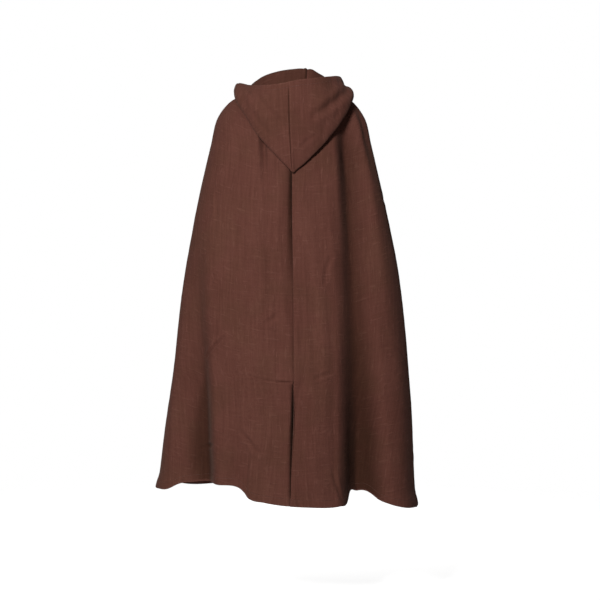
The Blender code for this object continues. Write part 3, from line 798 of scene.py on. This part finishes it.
def tabPiece(name, material):  # with its lines of stitches, and those of the buttonhole
    along = np.linspace(throatTab["top"], throatTab["bottom"], throatTab["rows"])
    angles = 180 + throatTab["halfAngle"] * np.linspace(-1, 1, throatTab["columns"])
    angle, along = np.meshgrid(angles, along)
    outward = outwardOf(bodySurface, angle, along)
    base = bodySurface(angle, along)
    across, down = runs(base, 1), runs(base, 0)
    edges = {"top": down, "bottom": down[-1:] - down, "left": across, "right": across[:, -1:] - across}
    edge = np.minimum.reduce(list(edges.values()))
    out = throatTab["lift"] + panelEdges["cloth"] + throatTab["puff"] * eased(edge / throatTab["puffReach"])
    out = out - throatTab["stitchSink"] * bell(edge - throatTab["stitchIn"], throatTab["stitchWidth"])
    outer = base + outward * out[..., None]
    inner, normals = fittedInner(outer, outward, panelEdges["cloth"])
    wearAndPaintedLight, grainAcross = bell(edge, throatTab["edgeWear"]), down + throatTab["grainShift"]
    made = clothPiece(name, outer, inner, grainAcross, across, wearAndPaintedLight, material)
    lines = [
        lineAt(outer, normals, distance, throatTab["stitchIn"], 0 if key in ("top", "bottom") else 1)
        for key, distance in edges.items()
    ]
    near, far, high, low = throatTab["boxShare"]
    for path in ([(high, far), (low, far)], [(low, near), (high, far)], [(high, near), (low, far)]):
        lines.append(gridLine(outer, normals, path))
    half, bar = throatTab["holeHalf"], throatTab["barHalf"]
    start, end = throatTab["holeShare"]
    holeLines = [gridLine(outer, normals, [(0.5 + y, start), (0.5 + y, end)]) for y in (-half, half)]
    holeLines += [gridLine(outer, normals, [(0.5 - bar, x), (0.5 + bar, x)], 9) for x in (start, end)]
    return made, lines, holeLines


def gridLine(points, normals, path, count=40):  # a line on a grid, through shares of its height and width
    knots, at = np.linspace(0, 1, len(path)), np.linspace(0, 1, count)
    row = np.interp(at, knots, [p[0] for p in path]) * (points.shape[0] - 1)
    column = np.interp(at, knots, [p[1] for p in path]) * (points.shape[1] - 1)
    return onGrid(points, row, column), unit(onGrid(normals, row, column))


def deselectAll():
    if bpy.context.mode != "OBJECT":
        bpy.ops.object.mode_set(mode="OBJECT")
    bpy.ops.object.select_all(action="DESELECT")


def selectFaces(piece, axis, facing):  # leaves edit mode on, with the faces that look that way
    bpy.ops.object.mode_set(mode="EDIT")
    bpy.ops.mesh.select_mode(type="FACE")
    bpy.ops.mesh.select_all(action="DESELECT")
    bpy.ops.object.mode_set(mode="OBJECT")
    for face in piece.data.polygons:
        face.select = face.normal[axis] * facing > 0.9
    bpy.ops.object.mode_set(mode="EDIT")


def applyModifier(piece, name, kind, **settings):
    made = piece.modifiers.new(name, kind)
    for key, value in settings.items():
        setattr(made, key, value)
    bpy.ops.object.modifier_apply(modifier=name)


def placeMesh(piece, matrix):  # moves the mesh itself, so that the object stays at the origin
    piece.data.transform(matrix @ piece.matrix_world)
    piece.matrix_world = Matrix.Identity(4)


def hornButtonPiece(name, material):
    form = hornButton
    spot = np.array([form["angle"]]), np.array([form["along"]])
    normal = outwardOf(bodySurface, *spot)[0]
    lift = throatTab["lift"] + panelEdges["cloth"] + throatTab["puff"] + form["clear"]
    place = Matrix.Translation(bodySurface(*spot)[0] + normal * lift)
    place = place @ Vector(normal).to_track_quat("Z", "Y").to_matrix().to_4x4()
    deselectAll()
    bpy.ops.mesh.primitive_cylinder_add(
        vertices=form["sides"], radius=form["radius"], depth=form["thick"], location=(0, 0, form["thick"] / 2)
    )
    button = bpy.context.active_object
    button.name = button.data.name = name
    bpy.ops.object.transform_apply(location=True, rotation=True, scale=True)
    selectFaces(button, 2, 1)
    bpy.ops.mesh.inset(thickness=form["rim"])
    bpy.ops.mesh.inset(thickness=form["lip"], depth=-form["dish"])
    bpy.ops.mesh.inset(thickness=form["slope"])
    bpy.ops.object.mode_set(mode="OBJECT")
    sharp = {"limit_method": "ANGLE", "angle_limit": math.radians(form["roundedFrom"])}
    applyModifier(button, "rounded edges", "BEVEL", width=form["rounding"], segments=3, **sharp)
    for x, y in ((1, 1), (1, -1), (-1, 1), (-1, -1)):
        deselectAll()
        spot = (x * form["holeAway"], y * form["holeAway"], 0)
        bpy.ops.mesh.primitive_cylinder_add(
            vertices=form["holeSides"], radius=form["holeRadius"], depth=form["drillLength"], location=spot
        )
        drill = bpy.context.active_object
        deselectAll()
        bpy.context.view_layer.objects.active = button
        button.select_set(True)
        applyModifier(button, "hole", "BOOLEAN", operation="DIFFERENCE", solver="EXACT", object=drill)
        bpy.data.objects.remove(drill)
    button.data.materials.clear()
    button.data.materials.append(material)
    button.data.shade_smooth()
    button.data.set_sharp_from_angle(angle=math.radians(form["sharpFrom"]))
    placeMesh(button, place)
    return button, place


stitching = {
    "pitch": 0.0042,
    "length": 0.0031,
    "radius": 0.00036,
    "sides": 6,
    "middleShare": 0.6,
    "endShare": 0.2,
    "endDrop": 0.8,
    "endTaper": 0.45,
    "proud": 0.00022,
    "holePitch": 0.0009,
    "holeLength": 0.0023,
    "buttonLength": 0.0054,
    "strandAway": 0.75,
    "strandLift": 0.6,
    "strandHeight": 1.4,
    "feel": 0.0015,  # how far to each side the run of the line is read
}


def stitchShape(length):  # one thread stitch: a rounded dash lying along X
    radius, middle, taper = stitching["radius"], length * stitching["middleShare"], stitching["endTaper"]
    lying = (0, math.pi / 2, 0)
    deselectAll()
    bpy.ops.mesh.primitive_cylinder_add(
        vertices=stitching["sides"], radius=radius, depth=middle, location=(0, 0, 0), rotation=lying
    )
    made = bpy.context.active_object
    bpy.ops.object.transform_apply(location=True, rotation=True, scale=True)
    for end in (-1, 1):  # each end is drawn out, down into the cloth and thinner
        selectFaces(made, 0, end)
        drawn = (end * length * stitching["endShare"], 0, -radius * stitching["endDrop"])
        bpy.ops.mesh.extrude_region_move(TRANSFORM_OT_translate={"value": drawn})
        bpy.ops.transform.resize(value=(1, taper, taper))
        bpy.ops.object.mode_set(mode="OBJECT")
    points = np.array([v.co[:] for v in made.data.vertices])
    faces = [tuple(p.vertices) for p in made.data.polygons]
    bpy.data.objects.remove(made)
    return points, faces


def sewnLine(line, shape, pitch=stitching["pitch"], turned=False):  # evenly spaced copies of the stitch
    points, faces = shape
    places, normals = line
    run = np.concatenate([[0], np.cumsum(np.linalg.norm(np.diff(places, axis=0), axis=1))])
    middles = np.arange(pitch / 2, run[-1], pitch)
    centre, feel = alongRun(middles, run, places), stitching["feel"]
    forward = unit(alongRun(middles + feel, run, places) - alongRun(middles - feel, run, places))
    out = unit(alongRun(middles, run, normals))
    out = unit(out - (out * forward).sum(-1, keepdims=True) * forward)
    side = np.cross(out, forward)
    if turned:
        forward, side = side, -forward
    placed = (centre + out * stitching["proud"])[:, None, :]
    for axis, direction in enumerate((forward, side, out)):
        placed = placed + points[None, :, axis : axis + 1] * direction[:, None, :]
    allFaces = [tuple(i + k * len(points) for i in face) for k in range(len(middles)) for face in faces]
    return placed.reshape(-1, 3), allFaces


def buttonThread(place, shape):  # the strands that cross the button between its holes
    points, faces = shape
    radius = stitching["radius"]
    height = hornButton["thick"] - hornButton["dish"] + radius * stitching["strandLift"]
    placed, allFaces = [], []
    for row, strand in ((-1, -1), (-1, 1), (1, -1), (1, 1)):  # two strands in each row, pressed together
        across = row * hornButton["holeAway"] + strand * radius * stitching["strandAway"]
        strandPoints = points * (1, 1, stitching["strandHeight"]) + (0, across, height)
        allFaces += [tuple(i + len(placed) for i in face) for face in faces]
        placed += [(place @ Vector(p))[:] for p in strandPoints]
    return np.array(placed), allFaces


def threadPiece(name, sewn, material):  # joins the lines of stitches into one piece
    points, faces = [], []
    for somePoints, someFaces in sewn:
        start = sum(len(p) for p in points)
        points.append(somePoints)
        faces += [tuple(i + start for i in face) for face in someFaces]
    mesh = bpy.data.meshes.new(name)
    mesh.from_pydata(np.concatenate(points).tolist(), [], faces)
    mesh.update()
    return linkedPiece(name, mesh, material)


# Materials
def setInputs(tree, node, inputs):  # a value is set, and a socket is linked
    for key, value in inputs.items():
        if isinstance(value, bpy.types.NodeSocket):
            tree.links.new(value, node.inputs[key])
        else:
            node.inputs[key].default_value = value


def addNode(tree, kind, inputs=None, **settings):
    made = tree.nodes.new(kind)
    for key, value in settings.items():
        setattr(made, key, value)
    setInputs(tree, made, inputs or {})
    return made


def calc(tree, operation, *values, clamp=False):
    made = addNode(tree, "ShaderNodeMath", dict(enumerate(values)), operation=operation, use_clamp=clamp)
    return made.outputs[0]


def stretchedNoise(tree, grain, scale, offset, detail, bend=0.0):  # noise drawn out along the threads
    moving = {"Vector": grain, "Scale": (*scale, 1), "Location": (offset, offset, 0)}
    moved = addNode(tree, "ShaderNodeMapping", moving).outputs[0]
    look = {"Vector": moved, "Scale": 1.0, "Detail": detail, "Roughness": 0.55, "Distortion": bend}
    return addNode(tree, "ShaderNodeTexNoise", look, noise_dimensions="2D").outputs[0]


def softStep(tree, value, low, high):
    ends = {"Value": value, "From Min": low, "From Max": high}
    return addNode(tree, "ShaderNodeMapRange", ends, interpolation_type="SMOOTHSTEP").outputs[0]


def placeNoise(tree, place, scale, detail, inputs=None, **settings):
    look = {"Vector": place, "Scale": scale, "Detail": detail, **(inputs or {})}
    return addNode(tree, "ShaderNodeTexNoise", look, **settings).outputs[0]


def colourRamp(tree, value, stops):  # each stop has its place and its colour
    made = addNode(tree, "ShaderNodeValToRGB", {0: value})
    elements = made.color_ramp.elements
    for element, (place, colour) in zip(elements, (stops[0], stops[-1])):
        element.position, element.color = place, (*colour, 1)
    for place, colour in stops[1:-1]:
        elements.new(place).color = (*colour, 1)
    return made.outputs[0]


def mixColour(tree, amount, first, second, blend="MIX"):
    sides = {0: amount, 6: first, 7: second}
    return addNode(tree, "ShaderNodeMix", sides, data_type="RGBA", blend_type=blend).outputs[2]


def newMaterial(name):
    material = bpy.data.materials.new(name)
    material.use_nodes = True
    tree = material.node_tree
    place = addNode(tree, "ShaderNodeTexCoord").outputs["Object"]
    return material, tree, tree.nodes["Principled BSDF"], place


def newGroup(name, inputs, outputs):
    group = bpy.data.node_groups.new(name, "ShaderNodeTree")
    for key, kind, value in inputs:
        socket = group.interface.new_socket(name=key, in_out="INPUT", socket_type=kind)
        if value is not None:
            socket.default_value = value
    for key, kind in outputs:
        group.interface.new_socket(name=key, in_out="OUTPUT", socket_type=kind)
    return group, group.nodes.new("NodeGroupInput").outputs, group.nodes.new("NodeGroupOutput")


weaveLook = {  # the noises have a scale across and down, an offset, a detail and a bend
    "threadWidth": 0.0011,
    "threadHeight": 0.00013,
    "slubHeight": 0.0005,
    "drift": ((14, 14), 3.7, 1.0),
    "driftSize": 0.004,
    "uneven": ((48, 48), 8.3, 1.0),
    "unevenSize": 0.0030,
    "downSlub": ((105, 26), 11.0, 1.0),
    "downSlubFrom": (0.64, 0.80),
    "acrossSlub": ((22, 130), 29.0, 1.0),
    "acrossSlubFrom": (0.64, 0.78),
    "downStreak": ((150, 9), 5.0, 3.0, 0.7),
    "acrossStreak": ((13, 170), 17.0, 3.0, 0.7),
    "downTone": 0.50,
    "acrossTone": 0.26,
    "slubTone": 0.17,
    "lift": -0.38,
    "over": (0.42, 0.58),  # how much a thread's height swings as it goes over and under, and its middle
}


def linenWeaveGroup():
    number, look = "NodeSocketFloat", weaveLook
    group, given, result = newGroup(
        "linenWeave",
        [
            ("Grain", "NodeSocketVector", None),
            ("Thread Width", number, look["threadWidth"]),
            ("Thread Height", number, look["threadHeight"]),
            ("Slub Height", number, look["slubHeight"]),
        ],
        [("Height", number), ("Tone", number), ("Slub", number), ("Gap", number)],
    )

    def noise(key):
        return stretchedNoise(group, given["Grain"], *look[key])

    def crown(place, other, row):  # the height of a thread as it goes over and under
        round_ = calc(group, "SINE", calc(group, "MULTIPLY", calc(group, "FRACT", place), math.pi))
        wave = calc(group, "COSINE", calc(group, "MULTIPLY", calc(group, "ADD", other, row), math.pi))
        return calc(group, "MULTIPLY", round_, calc(group, "MULTIPLY_ADD", wave, *look["over"]))

    drift = calc(group, "MULTIPLY", calc(group, "SUBTRACT", noise("drift"), 0.5), look["driftSize"])
    uneven = calc(group, "SUBTRACT", noise("uneven"), 0.5)
    drift = calc(group, "MULTIPLY_ADD", uneven, look["unevenSize"], drift)
    apart = addNode(group, "ShaderNodeSeparateXYZ", {"Vector": given["Grain"]}).outputs
    u = calc(group, "DIVIDE", calc(group, "ADD", apart[0], drift), given["Thread Width"])
    v = calc(group, "DIVIDE", calc(group, "SUBTRACT", apart[1], drift), given["Thread Width"])
    warp = crown(u, v, calc(group, "FLOOR", u))
    weft = crown(v, u, calc(group, "ADD", calc(group, "FLOOR", v), 1.0))
    thread = calc(group, "MAXIMUM", warp, weft)
    downSlub = softStep(group, noise("downSlub"), *look["downSlubFrom"])
    acrossSlub = softStep(group, noise("acrossSlub"), *look["acrossSlubFrom"])
    slub = calc(group, "MAXIMUM", downSlub, acrossSlub)
    tone = calc(group, "MULTIPLY", noise("acrossStreak"), look["acrossTone"])
    tone = calc(group, "MULTIPLY_ADD", noise("downStreak"), look["downTone"], tone)
    tone = calc(group, "MULTIPLY_ADD", slub, look["slubTone"], calc(group, "ADD", tone, look["lift"]))
    height = calc(group, "MULTIPLY", thread, given["Thread Height"])
    height = calc(group, "MULTIPLY_ADD", slub, given["Slub Height"], height)
    gap = calc(group, "SUBTRACT", 1.0, thread)
    setInputs(group, result, {"Height": height, "Tone": tone, "Slub": slub, "Gap": gap})
    return group


linenLook = {
    "dark": (0.08, (0.064, 0.021, 0.014)),  # the tone's place and the colour there
    "middle": (0.5, (0.097, 0.0345, 0.0250)),
    "light": (0.92, (0.130, 0.0505, 0.0365)),
    "patch": (5.5, 3.0, 0.45),  # scale, detail and strength
    "gapTone": -0.22,
    "toneLift": 0.56,
    "wornAndPaintedLight": (0.150, 0.066, 0.047, 1),
    "fuzz": (160.0, 2.0),
    "fuzzFrom": (0.35, 0.75),
    "wornAmount": 0.45,
    # the colour multiplied in for painted shade
    "hollow": (0.47, 0.45, 0.37, 1),
    "olive": (0.94, 0.99, 0.93, 1),
    "oliveFrom": (0.42, 0.66),
    "hue": (9.0, 2.0),  # scale and detail, as in fuzz
    "roughness": 0.92,
    "slubShine": -0.10,
    "specular": 0.12,
    "sheen": 0.05,
    "sheenRoughness": 0.45,
    "sheenTint": (0.75, 0.55, 0.45, 1),
}


def linenMaterial(name, weave, shade=1.0):
    material, tree, shader, place = newMaterial(name)
    look = linenLook
    grain = addNode(tree, "ShaderNodeUVMap", uv_map="grain").outputs[0]
    cloth = addNode(tree, "ShaderNodeGroup", node_tree=weave)
    setInputs(tree, cloth, {"Grain": grain})
    cloth = cloth.outputs
    scale, detail, strength = look["patch"]
    patch = calc(tree, "SUBTRACT", placeNoise(tree, place, scale, detail, {"Roughness": 0.6}), 0.5)
    tone = calc(tree, "MULTIPLY_ADD", patch, strength, cloth["Tone"])
    tone = calc(tree, "MULTIPLY_ADD", cloth["Gap"], look["gapTone"], tone)
    tone = calc(tree, "ADD", tone, look["toneLift"], clamp=True)
    tones = (look["dark"], look["middle"], look["light"])
    stops = [(at, [c * shade for c in colour]) for at, colour in tones]
    hue = placeNoise(tree, place, *look["hue"], {"W": 4.0}, noise_dimensions="4D")
    hue = softStep(tree, hue, *look["oliveFrom"])
    colour = mixColour(tree, hue, colourRamp(tree, tone, stops), look["olive"], "MULTIPLY")
    wearAndPaintedLight = addNode(tree, "ShaderNodeAttribute", attribute_name="wearAndPaintedLight").outputs["Fac"]
    # rubbed pale cloth, and the painted highlight on the hood's step, blend towards the pale colour
    fuzz = softStep(tree, placeNoise(tree, place, *look["fuzz"]), *look["fuzzFrom"])
    wornAndPaintedLight = calc(tree, "MULTIPLY", calc(tree, "MULTIPLY", wearAndPaintedLight, fuzz), look["wornAmount"], clamp=True)
    colour = mixColour(tree, wornAndPaintedLight, colour, look["wornAndPaintedLight"])
    # painted shade: below 0 the colour is multiplied darker, in fold valleys, seam slot, hood seam and hood
    # inside
    colour = mixColour(tree, softStep(tree, wearAndPaintedLight, 0.0, -1.0), colour, look["hollow"], "MULTIPLY")
    bump = addNode(tree, "ShaderNodeBump", {"Height": cloth["Height"], "Distance": 1.0, "Strength": 1.0})
    finish = {
        "Base Color": colour,
        "Roughness": calc(tree, "MULTIPLY_ADD", cloth["Slub"], look["slubShine"], look["roughness"]),
        "Normal": bump.outputs[0],
        "Specular IOR Level": look["specular"],
        "Sheen Weight": look["sheen"],
        "Sheen Roughness": look["sheenRoughness"],
        "Sheen Tint": look["sheenTint"],
    }
    setInputs(tree, shader, finish)
    return material


threadLook = {
    "noise": (900.0, 2.0),
    "bend": 0.0,
    "stops": [(0.0, (0.060, 0.024, 0.016)), (1.0, (0.120, 0.052, 0.036))],
    "bump": {"Distance": 0.0002, "Strength": 0.6},
    "roughness": (0.6, 0.6),
}
hornLook = {
    "noise": (240.0, 5.0),
    "bend": 1.6,
    "stops": [(0.3, (0.012, 0.006, 0.004)), (0.75, (0.095, 0.048, 0.026))],
    "bump": {"Distance": 0.0001, "Strength": 0.3},
    "roughness": (0.28, 0.48),
}


def streakedMaterial(name, look):  # one noise gives the thread or horn its colour, finish and relief
    material, tree, shader, place = newMaterial(name)
    streaks = placeNoise(tree, place, *look["noise"], {"Distortion": look["bend"]})
    smooth, rough = look["roughness"]
    finish = {
        "Base Color": colourRamp(tree, streaks, look["stops"]),
        "Roughness": addNode(
            tree, "ShaderNodeMapRange", {"Value": streaks, "To Min": smooth, "To Max": rough}
        ).outputs[0],
        "Normal": addNode(tree, "ShaderNodeBump", {"Height": streaks, **look["bump"]}).outputs[0],
    }
    setInputs(tree, shader, finish)
    return material


linenWeave = linenWeaveGroup()
cloakLinen = linenMaterial("cloakLinen", linenWeave)
tabLinen = linenMaterial("tabLinen", linenWeave, 0.92)
brownThread = streakedMaterial("brownThread", threadLook)
buttonHorn = streakedMaterial("buttonHorn", hornLook)
print("materials made")

stitch = stitchShape(stitching["length"])
seams = {}
backLeft, seams["backLeft"] = bodyPanel("backLeftCloth", 1, True, cloakLinen)
backRight, seams["backRight"] = bodyPanel("backRightCloth", -1, True, cloakLinen)
frontLeft, seams["frontLeft"] = bodyPanel("frontLeftCloth", 1, False, cloakLinen)
frontRight, seams["frontRight"] = bodyPanel("frontRightCloth", -1, False, cloakLinen)
print("body panels made")
hoodLeft, seams["hoodLeft"] = hoodHalf("hoodLeftCloth", "left", 1, cloakLinen)
hoodRight, seams["hoodRight"] = hoodHalf("hoodRightCloth", "right", -1, cloakLinen)
print("hood made")
tab, tabLines, holeLines = tabPiece("throatTabCloth", tabLinen)
button, buttonPlace = hornButtonPiece("throatButtonHorn", buttonHorn)
print("tab and button made")

holeStitch = stitchShape(stitching["holeLength"])
buttonStitch = stitchShape(stitching["buttonLength"])
hemLines = [seams[k]["hem"] for k in ("backLeft", "backRight", "frontLeft", "frontRight")]
frontLines = [seams[k]["front"] for k in ("frontLeft", "frontRight")]
faceLines = [seams[k]["face"] for k in ("hoodLeft", "hoodRight")]
hemStitches = threadPiece("hemStitches", [sewnLine(line, stitch) for line in hemLines], brownThread)
frontStitches = threadPiece("frontEdgeStitches", [sewnLine(line, stitch) for line in frontLines], brownThread)
hoodStitches = threadPiece("hoodFaceStitches", [sewnLine(line, stitch) for line in faceLines], brownThread)
sewnTab = [sewnLine(line, stitch) for line in tabLines]
sewnTab += [sewnLine(line, holeStitch, stitching["holePitch"], True) for line in holeLines]
tabStitches = threadPiece("tabStitches", sewnTab, brownThread)
buttonStitches = threadPiece("buttonThread", [buttonThread(buttonPlace, buttonStitch)], brownThread)
print("stitches made")

for piece in (hemStitches, frontStitches, hoodStitches, tabStitches, buttonStitches):
    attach(piece, "root")
for piece, node in (
    (backLeft, "back_left"),
    (backRight, "back_right"),
    (frontLeft, "front_left"),
    (frontRight, "front_right"),
    (hoodLeft, "hood_left"),
    (hoodRight, "hood_right"),
    (tab, "throat_tab"),
):
    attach(piece, "root")
    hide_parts(node)
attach(button, "root")
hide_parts("throat_button")

# Floor, light and camera
stageLook = {
    "floorZ": -1.58,
    "floorRadius": 3.2,
    "fadeFrom": 1.3,
    "fadeEdge": 0.05,
    "floorGrey": (0.45, 0.45, 0.45, 1),
    "floorGlow": 0.62,
    "roomLight": 0.09,
    "cameraX": -0.0164,
    "cameraZ": -0.6665,
    "cameraAway": 5.0,
    "metresPerPixel": 0.0031,
    "pictureWidth": 600,
    "sensor": 36.0,
    "lightsAim": (0, 0, -0.6),
}
lampLook = {  # place, size and power
    "keyLight": ((0.75, 2.9, 0.55), 0.5, 98),
    "topLight": ((0.3, 0.6, 3.0), 1.6, 26),
    "frontLight": ((0.5, -3.2, 0.5), 0.8, 125),
}


def paleFloor():
    deselectAll()
    bpy.ops.mesh.primitive_circle_add(
        vertices=96, radius=stageLook["floorRadius"], fill_type="NGON", location=(0, 0, stageLook["floorZ"])
    )
    floor = bpy.context.active_object
    floor.name = "paleFloor"
    bpy.ops.object.transform_apply(location=True, rotation=True, scale=True)
    material, tree, shader, place = newMaterial("palePaper")
    seenRays = addNode(tree, "ShaderNodeLightPath").outputs["Is Camera Ray"]
    flat = addNode(tree, "ShaderNodeVectorMath", {0: place, 1: (1, 1, 0)}, operation="MULTIPLY")
    away = addNode(tree, "ShaderNodeVectorMath", {0: flat.outputs[0]}, operation="LENGTH").outputs["Value"]
    faded = stageLook["floorRadius"] - stageLook["fadeEdge"]
    finish = {
        "Base Color": stageLook["floorGrey"],
        "Roughness": 0.9,
        "Emission Color": (1, 1, 1, 1),
        "Emission Strength": calc(tree, "MULTIPLY", seenRays, stageLook["floorGlow"]),
        "Alpha": softStep(tree, away, faded, stageLook["fadeFrom"]),
    }
    setInputs(tree, shader, finish)
    floor.data.materials.append(material)


def studioLight(name, place, size, power):
    data = bpy.data.lights.new(name, "AREA")
    data.shape = "SQUARE"
    data.size = size
    data.energy = power
    lamp = bpy.data.objects.new(name, data)
    lamp.location = place
    aim = Vector(stageLook["lightsAim"]) - Vector(place)
    lamp.rotation_euler = aim.to_track_quat("-Z", "Y").to_euler()
    lamp.visible_camera = False
    bpy.context.scene.collection.objects.link(lamp)


paleFloor()
for name, (place, size, power) in lampLook.items():
    studioLight(name, place, size, power)

world = bpy.data.worlds.new("paleRoom")
bpy.context.scene.world = world
world.use_nodes = True
sky = world.node_tree
sky.nodes.clear()
seen = addNode(sky, "ShaderNodeBackground", {"Color": (1, 1, 1, 1), "Strength": 1.0}).outputs[0]
roomLight = {"Color": (1, 0.99, 0.98, 1), "Strength": stageLook["roomLight"]}
lit = addNode(sky, "ShaderNodeBackground", roomLight).outputs[0]
rays = addNode(sky, "ShaderNodeLightPath").outputs["Is Camera Ray"]
both = addNode(sky, "ShaderNodeMixShader", {0: rays, 1: lit, 2: seen}).outputs[0]
addNode(sky, "ShaderNodeOutputWorld", {"Surface": both})

cameraData = bpy.data.cameras.new("photoView")
cameraData.sensor_width = stageLook["sensor"]
seenWidth = stageLook["metresPerPixel"] * stageLook["pictureWidth"]
cameraData.lens = stageLook["sensor"] * stageLook["cameraAway"] / seenWidth
camera = bpy.data.objects.new("photoView", cameraData)
camera.location = (stageLook["cameraX"], stageLook["cameraAway"], stageLook["cameraZ"])
camera.rotation_euler = (math.pi / 2, 0, math.pi)
bpy.context.scene.collection.objects.link(camera)
bpy.context.scene.camera = camera
bpy.context.scene.view_settings.view_transform = "Standard"
print("floor, light and camera made")
